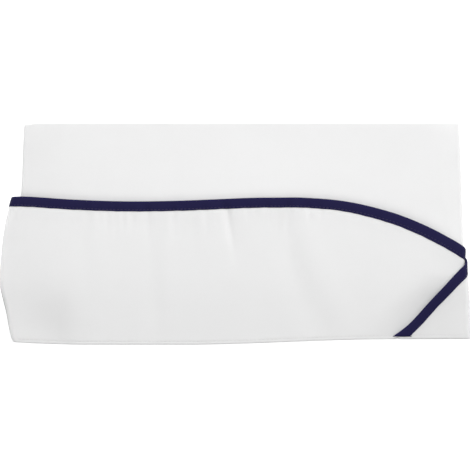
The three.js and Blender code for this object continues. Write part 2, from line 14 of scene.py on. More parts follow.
import bmesh
import bpy
import numpy as np
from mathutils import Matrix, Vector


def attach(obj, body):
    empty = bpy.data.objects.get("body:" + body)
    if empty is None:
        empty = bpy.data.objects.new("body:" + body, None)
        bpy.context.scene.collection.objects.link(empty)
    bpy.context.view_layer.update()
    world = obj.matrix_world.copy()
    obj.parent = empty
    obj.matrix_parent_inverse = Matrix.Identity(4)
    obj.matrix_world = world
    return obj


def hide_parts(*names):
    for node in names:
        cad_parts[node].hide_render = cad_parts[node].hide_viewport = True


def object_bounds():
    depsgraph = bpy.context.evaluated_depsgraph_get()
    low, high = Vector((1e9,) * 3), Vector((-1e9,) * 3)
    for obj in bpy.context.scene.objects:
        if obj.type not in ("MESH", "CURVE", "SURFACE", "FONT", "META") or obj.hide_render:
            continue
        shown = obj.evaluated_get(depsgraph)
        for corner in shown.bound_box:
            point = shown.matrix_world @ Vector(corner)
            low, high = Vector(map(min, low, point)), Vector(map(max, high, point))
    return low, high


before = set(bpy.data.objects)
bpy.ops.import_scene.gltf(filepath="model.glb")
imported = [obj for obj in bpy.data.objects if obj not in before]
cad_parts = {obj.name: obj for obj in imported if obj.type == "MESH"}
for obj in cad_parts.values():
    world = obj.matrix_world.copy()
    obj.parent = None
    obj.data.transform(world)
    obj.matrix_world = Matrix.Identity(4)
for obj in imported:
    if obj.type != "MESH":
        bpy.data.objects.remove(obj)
CAD_BOX = [list(corner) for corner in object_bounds()]

log = logging.getLogger("cap")

Array = np.ndarray
MM = 0.001
NORMAL_STEP = 0.08
QUARTER = math.pi / 2


# ---------------------------------------------------------------------------------------------
# Curves and small helpers
# ---------------------------------------------------------------------------------------------


class Side(Enum):
    """A side of the cap, and which way its outer face looks as the cap lies."""

    RIGHT = 1
    LEFT = -1


@dataclass(frozen=True)
class SmoothLine:
    """A smooth line through a short table.

    Attributes:
        rows: values by their places, in order.
    """

    rows: dict[float, float]

    def __call__(self, place: Array | float) -> Array:
        """Returns the value at each place, level with the first and last rows beyond them.

        Args:
            place: where to read the line.

        Returns:
            The values there.
        """
        at = np.array(list(self.rows.keys()), dtype=float)
        value = np.array(list(self.rows.values()), dtype=float)
        before = np.r_[0, np.arange(len(at) - 1)]
        after = np.r_[np.arange(1, len(at)), len(at) - 1]
        slope = (value[after] - value[before]) / (at[after] - at[before])
        x = np.clip(place, at[0], at[-1])
        i = np.clip(np.searchsorted(at, x, side="right") - 1, 0, len(at) - 2)
        span = at[i + 1] - at[i]
        t = (x - at[i]) / span
        eased = t * t * (3 - 2 * t)
        bend = t * (1 - t) * ((1 - t) * slope[i] - t * slope[i + 1])
        return value[i] + (value[i + 1] - value[i]) * eased + span * bend

    def slope(self, place: Array | float) -> Array:
        """Returns how much the line rises over the millimetre round each place."""
        return self(place + 0.5) - self(place - 0.5)


def smoothstep(x: Array | float, low: float, high: float) -> Array:
    """Returns 0 below low, 1 above high and a smooth step between them."""
    t = np.clip((np.asarray(x, dtype=float) - low) / (high - low), 0, 1)
    return t * t * (3 - 2 * t)


def lerp(a: Array | float, b: Array | float, share: Array | float) -> Array:
    """Returns the value that lies share of the way from a to b."""
    return a + (b - a) * share


def rise(t: Array) -> Array:
    """Returns a parabola that climbs from 0 to 1 and levels out there."""
    s = np.clip(t, 0, 1)
    return s * (2 - s)


def bell(x: Array) -> Array:
    """Returns a bell curve of height 1 and half-width 1."""
    return np.exp(-(x**2))


def joined(*parts: Array | float) -> Array:
    """Returns points whose coordinates are these parts, stretched to one another's size."""
    return np.stack(np.broadcast_arrays(*parts), axis=-1)


def unit(vectors: Array) -> Array:
    """Returns the vectors, each scaled to length 1."""
    return vectors / np.maximum(np.linalg.norm(vectors, axis=-1, keepdims=True), 1e-12)


def spaced(*knots: tuple[float, float]) -> Array:
    """Lays out values between knots with a spacing of their own.

    Args:
        knots: pairs of a value and the spacing up to the next one; the last spacing is unused.

    Returns:
        The values from the first knot to the last, in order.
    """
    stretches = []
    for (start, step), (end, _) in zip(knots, knots[1:]):
        count = max(1, round(abs(end - start) / step))
        stretches.append(np.linspace(start, end, count, endpoint=False))
    return np.r_[*stretches, knots[-1][0]]


# ---------------------------------------------------------------------------------------------
# The shape of the cap
# ---------------------------------------------------------------------------------------------


@dataclass(frozen=True, kw_only=True)
class CuffMark:
    """A soft mark on a side of the cuff.

    Attributes:
        station: where it is along the cuff.
        height: where it is above the hem.
        lean: how far it leans to the front for each millimetre up.
        width: half its width.
        length: half its length.
    """

    station: float
    height: float
    lean: float = 0.0
    width: float
    length: float

    def across(self, x: Array, y: Array) -> Array:
        """Returns how many half widths in front of its middle line x, y lies."""
        return (x - self.station - self.lean * (y - self.height)) / self.width

    def fade(self, y: Array) -> Array:
        """Returns how strong it is at a height."""
        return bell((y - self.height) / self.length)


@dataclass(frozen=True, kw_only=True)
class Dent(CuffMark):
    """A soft dent.

    Attributes:
        depth: how deep it is.
        crease: its front border is this many times as sharp as its back one.
    """

    depth: float
    crease: float = 1.0

    def __call__(self, x: Array, y: Array) -> Array:
        """Returns how deep the dent is at x, y."""
        across = self.across(x, y)
        return self.depth * bell(across * np.where(across > 0, self.crease, 1)) * self.fade(y)


@dataclass(frozen=True, kw_only=True)
class Fold(CuffMark):
    """A soft fold, where the cloth steps up towards the front.

    Attributes:
        step: how far it rises over its width.
    """

    step: float

    def __call__(self, x: Array, y: Array) -> Array:
        """Returns how far the fold lifts the cloth at x, y."""
        across = self.across(x, y)
        return self.step * across * bell(across) * self.fade(y)


@dataclass(frozen=True)
class Pucker:
    """A small gather that the binding's seam draws into the cloth below it.

    Attributes:
        station: where it meets the binding.
        width: half its width.
        length: how far it runs down from the binding.
        depth: how deep it is at the binding.
        lean: how far it leans to the front for each millimetre down.
    """

    station: float
    width: float
    length: float
    depth: float
    lean: float = 0.0

    def __call__(self, x: Array, below: Array) -> Array:
        """Works out the gather.

        Args:
            x: stations.
            below: distances below the binding.

        Returns:
            How deep it is there.
        """
        across = (x - self.station - self.lean * below) / self.width
        fade = bell(np.maximum(below, 0) / self.length) * smoothstep(below, -6, 1)
        ridge = 0.45 * bell((across - 1.9) / 1.1) + 0.3 * bell((across + 1.9) / 1.1)
        return self.depth * fade * (bell(across) - ridge)


@dataclass(frozen=True)
class CapShape:
    """Outlines and lie of the folded cap, in millimetres.

    Attributes:
        height: of the cap from hem to top edge.
        cloth: thickness that the layers are stacked by.
        tape_width: of the folded binding.
        tape_thickness: of the binding with the cloth inside.
        gap: between layers that are sewn or pressed together.
        crossing_gap: the same where one binding crosses the other.
        crown_back: stations of the crown's outer back line, at the hem and at the top.
        crown_front: the same at the front.
        corner_reach: length of the top edge that rounds down to the back fold.
        corner_drop: how far it rounds down.
        corner_curve: how late it does: 1 makes it straight.
        crossing_height: height at which the bindings cross on the front fold.
        crossing_length: half the length of the fold that they draw in.
        crossing_inset: how far they draw it in.
        edge_at_front: height of the cuff's free edge at the front fold.
        cuff_loose: how far the free cuff stands off the crown.
        loose_least: the least that it stands off between the folds.
        loose_share: shares of the cuff's height between which it comes loose.
        loose_lengths: lengths over which it comes loose from the back and front folds.
        lap_press: width beside the lap's edge over which it presses the cuff down.
        lap_lift: how far the lap's edge stands up.
        lap_lift_width: half the width of the part that does.
        lap_lift_start: length over which it comes to, from the front fold.
        lap_tip: station at which the lap ends, at the hem.
        lap_top: station and height at which the lap's straight edge starts.
        lap_foot: station and height at which it ends.
        right_end: station at which the right half ends beneath the lap.
        cuff_back: station of the cuff's outer back line, for a height.
        back_step_height: height below which the right half steps in at the back.
        back_step_inset: how far it steps in.
        back_step_bias: below 1 it is deepest above the middle of the step.
        right_edge: height of the right half's free edge, for a station.
        left_edge: the same for the left half and its lap.
        fullness: how far the open crown stands up, for a height.
        back_rise: length over which it rises from the back fold, for a height.
        front_rise: the same from the front fold.
        hem_rise: how far the hem rises towards the front.
        hem_rise_span: stations between which it does.
        heel_start: station behind which the hem rises to the back.
        heel_length: length over which it rises there by heel_rise.
        heel_rise: how far that is.
        wall_settles: distances past the cuff in which the left wall comes down to the floor.
        wall_leaves: distances in which it leaves a fold.
        cuff_settles: distances from the binding in which the left half comes down.
        cuff_leaves: length over which it leaves a fold.
        hollow: the broad dent of crown and cuff at the back.
        dents: of the cuff alone.
        folds: of the cuff alone.
        middle: station and height that lie at the middle of the frame's box.
    """

    height: float = 141.0
    cloth: float = 1.0
    tape_width: float = 6.35
    tape_thickness: float = 1.4
    gap: float = 0.3
    crossing_gap: float = 0.2
    crown_back: tuple[float, float] = (10.8, 15.5)
    crown_front: tuple[float, float] = (298.3, 293.6)
    corner_reach: float = 11.0
    corner_drop: float = 1.4
    corner_curve: float = 1.5
    crossing_height: float = 49.0
    crossing_length: float = 10.0
    crossing_inset: float = 1.2
    edge_at_front: float = 62.0
    cuff_loose: float = 2.0
    loose_least: float = 0.1
    loose_share: tuple[float, float] = (-0.5, 0.35)
    loose_lengths: tuple[float, float] = (34.0, 24.0)
    lap_press: float = 26.0
    lap_lift: float = 0.8
    lap_lift_width: float = 7.0
    lap_lift_start: float = 14.0
    lap_tip: float = 353.3
    lap_top: tuple[float, float] = (311.1, 44.4)
    lap_foot: tuple[float, float] = (353.1, 4.9)
    right_end: float = 306.0
    cuff_back: SmoothLine = field(
        default=SmoothLine({0: 9.4, 4: 7.1, 20: 3.9, 36: 0.2, 46: 0, 61: 1.2, 77: 3.5, 95: 8.3})
    )
    back_step_height: float = 38.0
    back_step_inset: float = 0.8
    back_step_bias: float = 0.7
    right_edge: SmoothLine = field(
        default=SmoothLine(
            {
                4: 93.7, 17: 94.0, 48: 92.0, 80: 90.9, 115: 91.3, 160: 93.1, 178: 93.3,
                195: 93.2, 222: 90.7, 250: 84.0, 270: 76.3, 288: 67.1, 297: 61.6, 314: 48.8,
            }
        )
    )  # fmt: skip
    left_edge: SmoothLine = field(
        default=SmoothLine(
            {
                4: 93.5, 17: 93.8, 48: 91.8, 80: 90.9, 115: 91.3, 160: 92.7, 195: 92.1,
                222: 88.4, 250: 80.2, 270: 71.9, 288: 62.2, 300.8: 53.4, 311.1: 44.4,
                326.7: 29.4, 340.9: 14.4, 347.1: 9.2, 353.6: 4.7,
            }
        )
    )  # fmt: skip
    fullness: SmoothLine = field(
        default=SmoothLine({0: 4.8, 20: 5.4, 45: 6.1, 90: 5.9, 141: 4.4})
    )
    back_rise: SmoothLine = field(default=SmoothLine({0: 42, 60: 40, 100: 36, 141: 30}))
    front_rise: SmoothLine = field(
        default=SmoothLine({0: 88, 20: 62, 40: 33, 60: 25, 85: 22, 141: 12})
    )
    hem_rise: float = 3.5
    hem_rise_span: tuple[float, float] = (118.0, 248.0)
    heel_start: float = 58.0
    heel_length: float = 44.0
    heel_rise: float = 1.1
    wall_settles: tuple[float, float] = (3.0, 27.0)
    wall_leaves: tuple[float, float] = (8.0, 40.0)
    cuff_settles: tuple[float, float] = (1.0, 12.0)
    cuff_leaves: float = 14.0
    hollow: Dent = Dent(station=28, height=-3, width=27, length=26, depth=2.4, crease=1.5)
    dents: tuple[Dent, ...] = (
        Dent(station=13.6, height=43, lean=0.1, width=2.2, length=9, depth=0.5),
        Dent(station=37, height=4, width=20, length=20, depth=1.8, crease=2.4),
        Dent(station=66, height=88, width=5, length=16, depth=0.4),
        Dent(station=95, height=82, width=5, length=22, depth=0.5),
        Dent(station=147, height=78, lean=-0.25, width=5, length=22, depth=0.7),
    )
    folds: tuple[Fold, ...] = (
        Fold(station=58, height=62, width=8, length=24, step=0.85),
        Fold(station=103, height=40, width=7.5, length=34, step=1.15),
        Fold(station=127, height=78, width=5, length=16, step=0.5),
        Fold(station=190, height=64, lean=-0.15, width=10, length=26, step=1.3),
        Fold(station=206, height=24, lean=-0.25, width=12, length=24, step=1.15),
    )
    middle: tuple[float, float] = (150.58, 70.58)

    @property
    def crown_turn(self) -> float:
        """Radius of the crown's middle surface round a fold."""
        return self.cloth / 2 + self.gap

    @property
    def cuff_turn(self) -> float:
        """Radius of the cuff's middle surface round a fold."""
        return self.crown_turn + self.cloth / 2 + self.gap + self.tape_thickness / 2

    @property
    def lap_turn(self) -> float:
        """Radius of the lapped cuff's middle surface round the front fold."""
        return self.cuff_turn + self.tape_thickness + self.crossing_gap

    def crown_back_centre(self, y: Array) -> Array:
        """Returns where the crown's back fold turns."""
        hem, top = self.crown_back
        return lerp(hem, top, y / self.height) + self.crown_turn + self.cloth / 2

    def front_centre(self, y: Array) -> Array:
        """Works out where the layers turn at the front fold.

        Args:
            y: the height on the cap.

        Returns:
            How far forward the middle of the turn lies.
        """
        hem, top = self.crown_front
        straight = lerp(hem, top, y / self.height) - self.crown_turn - self.cloth / 2
        crossing = bell((y - self.crossing_height) / self.crossing_length)
        return straight - self.crossing_inset * crossing

    def left_back_centre(self, y: Array) -> Array:
        """Returns where the left half of the cuff turns at the back."""
        return self.cuff_back(y) + self.cuff_turn + self.cloth / 2

    def right_back_centre(self, y: Array) -> Array:
        """Works out where the right half turns at the back: it steps in near the hem.

        Args:
            y: the height on the cap.

        Returns:
            How far forward the middle of the turn lies.
        """
        down = np.clip(1 - y / self.back_step_height, 0, 1)
        step = np.sin(np.pi * down**self.back_step_bias)
        return self.left_back_centre(y) + self.back_step_inset * step

    def hem(self, x: Array) -> Array:
        """Works out the hem, which rises to the front and a little to the back.

        Args:
            x: how far forward.

        Returns:
            The hem's height.
        """
        to_front = smoothstep(x, *self.hem_rise_span) * self.hem_rise
        to_back = np.maximum(self.heel_start - x, 0) / self.heel_length
        return to_front + self.heel_rise * to_back**2

    def crown_top(self, x: Array) -> Array:
        """Returns the height of the top edge, which rounds down to the back fold."""
        into_corner = (self.crown_back[1] + self.corner_reach - x) / self.corner_reach
        return self.height - self.corner_drop * np.clip(into_corner, 0, 1) ** self.corner_curve

    def centre_height(self, x: Array, y: Array) -> Array:
        """Works out the line round which the layers turn.

        Args:
            x: how far forward.
            y: the height on the cap.

        Returns:
            Its height above the floor.
        """
        top = self.cloth / 2 + self.crown_turn
        at_back = self.tape_thickness / 2 + self.cuff_turn
        at_front = self.tape_thickness / 2 + self.lap_turn
        back, front = self.crown_back_centre(y), self.front_centre(y)
        on_cuff = lerp(at_back, at_front, np.clip((x - back) / (front - back), 0, 1))
        edge = self.right_edge(np.minimum(x, self.front_centre(self.edge_at_front)))
        past = np.clip((y - edge) / (self.height - edge), 0, 1)
        sunk = lerp(past, rise(past), 0.3) * smoothstep(past, -0.1, 0.2)
        return lerp(on_cuff, top, sunk)

    def opening(
        self, x: Array, y: Array, start: Array, round_back: Array = 1, round_front: Array = 1
    ) -> Array:
        """Returns how far the right wall stands up from its place in a closed fold.

        Args:
            x: how far forward.
            y: the height on the cap.
            start: where the layer's back fold turns.
            round_back: from 0 on the back fold's outermost line to 1 where its turn ends.
            round_front: the same for the front fold.

        Returns:
            The lift above a closed fold.
        """
        turn = QUARTER * self.cuff_turn
        back_length = self.crown_back_centre(y) + self.back_rise(y) - start
        from_back = (turn * round_back + x - start) / (turn + back_length)
        from_front = (turn * round_front + self.front_centre(y) - x) / self.front_rise(y)
        full = self.fullness(y) - self.hollow(x, y)
        return full * rise(from_back) * rise(from_front)

    def lap_station(self, y: Array) -> Array:
        """Returns the station at which the lap's free edge has this height."""
        top, foot = self.lap_top, self.lap_foot
        return lerp(top[0], foot[0], np.clip((top[1] - y) / (top[1] - foot[1]), 0, 1))

    def lap_edge(self, y: Array) -> Array:
        """Returns how far from the back of the cap the lap's free edge lies at a height."""
        fold = self.front_centre(y) + self.front_centre(self.edge_at_front)
        return fold + math.pi * self.lap_turn - self.lap_station(y)

    def looseness(self, x: Array, y: Array) -> Array:
        """Works out how loosely the right half of the cuff lies.

        Args:
            x: how far forward.
            y: the height on the cap.

        Returns:
            How far it stands off the crown.
        """
        edge = self.right_edge(x)
        up = (y - self.hem(x)) / (edge - self.hem(x))
        between = smoothstep(up, *self.loose_share)
        to_front = self.front_centre(y) - x
        at_back, at_front = self.loose_lengths
        from_folds = smoothstep(x, 0, at_back) * smoothstep(to_front, 0, at_front)
        loose = self.cuff_loose - sum(dent(x, y) for dent in self.dents)
        loose = loose + sum(fold(x, y) for fold in self.folds)
        press = rise((self.lap_edge(y) - x + 1) / self.lap_press)
        return np.maximum(loose, self.loose_least) * between * from_folds * press

    def crown_right_level(self, x: Array, y: Array) -> Array:
        """Returns the height above the floor of the right wall of the crown."""
        closed = self.centre_height(x, y) + self.crown_turn
        return closed + self.opening(x, y, self.crown_back_centre(y))

    def lap_level(self, x: Array, y: Array) -> Array:
        """Works out how the lap lies: its free edge stands up a little.

        Args:
            x: how far forward.
            y: the height on the cap.

        Returns:
            Its height above the floor.
        """
        lie = self.cuff_right_level(x, y) + self.lap_turn - self.cuff_turn
        free = smoothstep(self.front_centre(y) - x, 0, self.lap_lift_start)
        lifted = bell((x - self.lap_edge(y)) / self.lap_lift_width)
        return lie + self.lap_lift * lifted * free

    def crown_left_level(self, x: Array, y: Array) -> Array:
        """Works out how the left wall lies: on the cuff, and past its edge on the floor.

        Args:
            x: how far forward.
            y: the height on the cap.

        Returns:
            Its height above the floor.
        """
        on_cuff = self.tape_thickness + self.gap + self.cloth / 2
        edge = self.left_edge(x)
        past = smoothstep(y - edge, *self.wall_settles)
        resting = lerp(on_cuff, self.cloth / 2, past)
        fold = np.minimum(x - self.crown_back_centre(y), self.front_centre(y) - x)
        folded = self.centre_height(x, y) - self.crown_turn
        return lerp(folded, resting, smoothstep(fold, *self.wall_leaves))

    def cuff_right_level(self, x: Array, y: Array) -> Array:
        """Returns the height of the right half of the cuff, without its small gathers."""
        closed = self.centre_height(x, y) + self.cuff_turn
        return closed + self.opening(x, y, self.right_back_centre(y)) + self.looseness(x, y)

    def cuff_left_level(self, x: Array, y: Array) -> Array:
        """Works out how the left half of the cuff lies: flat on the floor.

        Args:
            x: how far forward.
            y: the height on the cap.

        Returns:
            Its height above the floor.
        """
        slant = np.hypot(1, self.left_edge.slope(x))
        to_edge = self.left_edge(x) - self.tape_width * slant - y
        to_fold = np.minimum(x - self.left_back_centre(y), self.front_centre(y) - x)
        from_fold = smoothstep(to_fold, 0, self.cuff_leaves)
        inside = smoothstep(to_edge, *self.cuff_settles) * from_fold
        return lerp(self.tape_thickness / 2, self.cloth / 2, inside)

    def to_frame(self, points: Array) -> Array:
        """Turns points in cap millimetres into metres in the frame.

        Args:
            points: an array whose last axis holds station, height and height above the floor.

        Returns:
            The points in the frame.
        """
        low, high = (np.array(corner) for corner in CAD_BOX)
        middle = (low + high) / 2
        station, height = self.middle
        origin = np.array([middle[0] - station * MM, middle[1] - height * MM, low[2]])
        return points * MM + origin


@dataclass(frozen=True)
class Layer:
    """A layer of cloth laid round the folds of the cap.

    Attributes:
        shape: the cap that it belongs to.
        side: the side whose outer face it shows.
        back_centre: where it turns at the back, for a height.
        back_turn: radius of its middle surface there.
        front_turn: radius of its middle surface round the front fold.
        lean_heights: heights at which stations are true distances, at the back and the front.
        level: its height above the floor on its own side.
        lap_level: its height past the front fold, on the other side.
        back_lean: length over which its columns lean as the back fold does.
        front_lean: stations between which they come to lean as the front fold does.
    """

    shape: CapShape
    side: Side
    back_centre: Callable[[Array], Array]
    back_turn: float
    front_turn: float
    lean_heights: tuple[float, float]
    level: Callable[[Array, Array], Array]
    lap_level: Callable[[Array, Array], Array]
    back_lean: float = 45.0
    front_lean: tuple[float, float] = (200.0, 290.0)

    @property
    def back_line(self) -> float:
        """Station of the outermost line of the back fold."""
        return float(self.back_centre(self.lean_heights[0])) - QUARTER * self.back_turn

    @property
    def front_start(self) -> float:
        """Station at which the layer starts to turn round the front fold."""
        return float(self.shape.front_centre(self.lean_heights[1]))

    @property
    def front_line(self) -> float:
        """Station of the outermost line of the front fold."""
        return self.front_start + QUARTER * self.front_turn

    @property
    def turned(self) -> float:
        """Station at which the turn round the front fold ends."""
        return self.front_start + math.pi * self.front_turn

    def unrolled(self, station: Array, y: Array) -> Array:
        """Works out how far forward the columns lie: near a fold they lean as it does.

        Args:
            station: distances along the layer.
            y: heights on the cap.

        Returns:
            The distances from the back of the cap, as if the layer were flat.
        """
        back, front = self.lean_heights
        start = float(self.back_centre(back))
        at_back = self.back_centre(y) - start
        at_front = self.shape.front_centre(y) - self.shape.front_centre(front)
        from_back = 1 - smoothstep(station, start, start + self.back_lean)
        return station + at_back * from_back + at_front * smoothstep(station, *self.front_lean)

    def round_share(self, quarters: Array, turn: float) -> Array:
        """Returns how far the opening has come on in a turn: the inner layers rise later."""
        return np.clip(quarters, 0, 1) ** (self.shape.cuff_turn / turn)

    def place(self, station: Array, y: Array, lift: Array | float = 0.0) -> Array:
        """Lays points of the layer's middle surface.

        Args:
            station: distances along the layer.
            y: heights on the cap.
            lift: how far each point is raised off the middle surface, outwards.

        Returns:
            The points, in cap millimetres.
        """
        along = self.unrolled(station, y)
        back, front = self.back_centre(y), self.shape.front_centre(y)
        x = np.clip(along, back, front)
        centre = self.shape.centre_height(x, y)
        sign = self.side.value
        at_back = np.clip((back - along) / self.back_turn, 0, math.pi)
        at_front = np.clip((along - front) / self.front_turn, 0, math.pi)
        if self.side is Side.RIGHT:
            round_back = self.round_share(1 - at_back / QUARTER, self.back_turn)
            round_front = self.round_share(1 - at_front / QUARTER, self.front_turn)
            opened = self.shape.opening(x, y, back, round_back, round_front)
            own = self.level(x, y) - self.shape.opening(x, y, back)
        else:
            round_front = self.round_share(at_front / QUARTER - 1, self.front_turn)
            opened = self.shape.opening(x, y, back, 1, round_front) * (at_front > QUARTER)
            own = self.level(x, y)
        z = centre + (own + sign * lift - centre) * np.cos(at_back) + opened
        reach = self.front_turn + lift
        z = np.where(along > front, centre + sign * reach * np.cos(at_front) + opened, z)
        x = np.where(along < back, back - (self.back_turn + lift) * np.sin(at_back), x)
        x = np.where(along > front, front + reach * np.sin(at_front), x)
        past = along - front - math.pi * self.front_turn
        lapped = front - past
        z = np.where(past > 0, self.lap_level(lapped, y) - sign * lift, z)
        x = np.where(past > 0, lapped, x)
        return joined(x, y, z)

    def normal(self, station: Array, y: Array) -> Array:
        """Works out which way the layer's middle surface looks.

        Args:
            station: distances along the layer.
            y: heights on the cap.

        Returns:
            The unit normals, outwards.
        """
        d = NORMAL_STEP
        along = self.place(station + d, y) - self.place(station - d, y)
        up = self.place(station, y + d) - self.place(station, y - d)
        return unit(np.cross(along, up) * self.side.value)

    def rolled(
        self,
        edge: tuple[Array, Array, Array],
        outward: Array,
        radius: Array,
        angles: Array,
        up: int,
    ) -> tuple[Array, Array]:
        """Rolls the cloth inwards past an edge of a wall.

        Args:
            edge: stations, heights and lifts of the wall's last row of points, as columns.
            outward: the wall's directions outwards there.
            radius: of the roll, as a column.
            angles: how far round each row of the roll is.
            up: 1 for an edge that looks to the top of the cap, -1 for one that looks to the hem.

        Returns:
            The roll's points and its directions outwards.
        """
        x, y, lift = (part * np.ones(len(angles)) for part in edge)
        straight = unit(outward * np.array([1, 0, 1]))
        points = self.place(x, y, lift) - straight * (radius * (1 - np.cos(angles)))[..., None]
        points[..., 1] = y + up * radius * np.sin(angles)
        facing = straight * np.cos(angles)[:, None]
        facing[..., 1] = up * np.sin(angles)
        return points, facing


# ---------------------------------------------------------------------------------------------
# Meshes
# ---------------------------------------------------------------------------------------------


def grid_normals(points: Array, outward: Array) -> Array:
    """Works out the normals of a grid of points.

    Args:
        points: rows and columns of points.
        outward: rough outward directions, which settle the sign.

    Returns:
        The unit normals.
    """
    along = np.gradient(points, axis=0)
    across = np.gradient(points, axis=1)
    cross = unit(np.cross(along, across))
    sign = np.sign(np.sum(cross * outward, axis=-1, keepdims=True))
    return cross * np.where(sign == 0, 1, sign)


def new_mesh(
    name: str, points: Array, faces: Sequence[tuple[int, ...]], uvs: Array | None = None
) -> bpy.types.Object:
    """Makes a smooth-shaded mesh object in the scene.

    Args:
        name: the object's name.
        points: vertices in metres.
        faces: vertex numbers of each face.
        uvs: a place in the cloth for each vertex, in metres, or None.

    Returns:
        The object.
    """
    mesh = bpy.data.meshes.new(name)
    mesh.from_pydata([tuple(p) for p in points], [], [tuple(f) for f in faces])
    mesh.polygons.foreach_set("use_smooth", [True] * len(mesh.polygons))
    if uvs is not None:
        layer = mesh.uv_layers.new(name="cloth")
        corner = np.empty(len(mesh.loops), dtype=int)
        mesh.loops.foreach_get("vertex_index", corner)
        layer.data.foreach_set("uv", uvs[corner].astype(np.float32).ravel())
    mesh.update()
    thing = bpy.data.objects.new(name, mesh)
    bpy.context.scene.collection.objects.link(thing)
    return thing


@dataclass
class ClothGrid:
    """A wall of cloth laid out as a grid of its middle surface, columns by rows.

    Attributes:
        points: the middle surface, in cap millimetres.
        outward: rough outward directions.
        thickness: of the cloth.
        uv: where each point is in the flat cloth, in millimetres.
        edge_round: how far the cut edges round out past the grid.
    """

    points: Array
    outward: Array
    thickness: float
    uv: Array
    edge_round: float = 0.3

    def build(self, name: str, shape: CapShape) -> bpy.types.Object:
        """Thickens the grid to a closed wall with rounded edges.

        Args:
            name: the object's name.
            shape: the cap, which places it in the frame.

        Returns:
            The mesh object.
        """
        normals = grid_normals(self.points, self.outward)
        columns, rows = self.points.shape[:2]
        outer = self.points + normals * self.thickness / 2
        inner = self.points - normals * self.thickness / 2
        rim = self.rim_loop(columns, rows)
        beyond = self.points.reshape(-1, 3)[rim] + self.rim_outward(rim) * self.edge_round
        vertices = np.concatenate([outer.reshape(-1, 3), inner.reshape(-1, 3), beyond])
        flat = self.uv.reshape(-1, 2)
        uv = np.concatenate([flat, flat, flat[rim]])
        faces = self.sheet_faces(columns, rows) + self.rim_faces(rim, columns * rows)
        thing = new_mesh(name, shape.to_frame(vertices), faces, uv * MM)
        make_outward(thing)
        return thing

    @staticmethod
    def sheet_faces(columns: int, rows: int) -> list[tuple[int, ...]]:
        """Lists the faces of both sides of the wall.

        Args:
            columns: of the grid.
            rows: of the grid.

        Returns:
            The vertex numbers of each face.
        """
        c, r = np.meshgrid(np.arange(columns - 1), np.arange(rows - 1), indexing="ij")
        a = (c * rows + r).ravel()
        quads = np.stack([a, a + rows, a + rows + 1, a + 1], axis=1)
        shift = columns * rows
        return [tuple(q) for q in quads] + [tuple(q[::-1] + shift) for q in quads]

    @staticmethod
    def rim_loop(columns: int, rows: int) -> Array:
        """Lists the grid's border points in order round it.

        Args:
            columns: of the grid.
            rows: of the grid.

        Returns:
            Their numbers.
        """
        start = np.arange(rows)
        top = np.arange(1, columns) * rows + rows - 1
        end = (columns - 1) * rows + np.arange(rows - 2, -1, -1)
        bottom = np.arange(columns - 2, 0, -1) * rows
        return np.concatenate([start, top, end, bottom])

    def rim_outward(self, rim: Array) -> Array:
        """Works out which way the border looks, along the cloth.

        Args:
            rim: numbers of the border points.

        Returns:
            The unit directions.
        """
        points = self.points
        out = np.zeros_like(points)
        out[0] += unit(points[0] - points[1])
        out[-1] += unit(points[-1] - points[-2])
        out[:, 0] += unit(points[:, 0] - points[:, 1])
        out[:, -1] += unit(points[:, -1] - points[:, -2])
        return unit(out.reshape(-1, 3)[rim])

    @staticmethod
    def rim_faces(rim: Array, count: int) -> list[tuple[int, ...]]:
        """Lists the faces that close the wall's border, in two rows.

        Args:
            rim: numbers of the border points.
            count: of points in the grid.

        Returns:
            The vertex numbers of each face.
        """
        faces = []
        for k in range(len(rim)):
            m = (k + 1) % len(rim)
            beyond_k, beyond_m = 2 * count + k, 2 * count + m
            faces.append((rim[k], rim[m], beyond_m, beyond_k))
            faces.append((beyond_k, beyond_m, rim[m] + count, rim[k] + count))
        return faces


def make_outward(thing: bpy.types.Object) -> None:
    """Turns every face of a closed mesh outwards.

    Args:
        thing: the mesh object.
    """
    mesh = bmesh.new()
    mesh.from_mesh(thing.data)
    bmesh.ops.recalc_face_normals(mesh, faces=mesh.faces)
    mesh.to_mesh(thing.data)
    mesh.free()


def tube_faces(rings: int, size: int) -> list[tuple[int, ...]]:
    """Lists the faces of a tube: rings of points joined one to the next, with both ends closed.

    Args:
        rings: number of rings.
        size: number of points in each.

    Returns:
        The vertex numbers of each face.
    """
    faces = []
    for r in range(rings - 1):
        for k in range(size):
            a, b = r * size + k, r * size + (k + 1) % size
            faces.append((a, b, b + size, a + size))
    last = (rings - 1) * size
    faces.append(tuple(range(size - 1, -1, -1)))
    faces.append(tuple(range(last, last + size)))
    return faces


# ---------------------------------------------------------------------------------------------
# Finishes
# ---------------------------------------------------------------------------------------------


Number = float | bpy.types.NodeSocket
Colour = tuple[float, float, float]
Value = Number | tuple[float, ...]
Setting = str | bpy.types.NodeTree


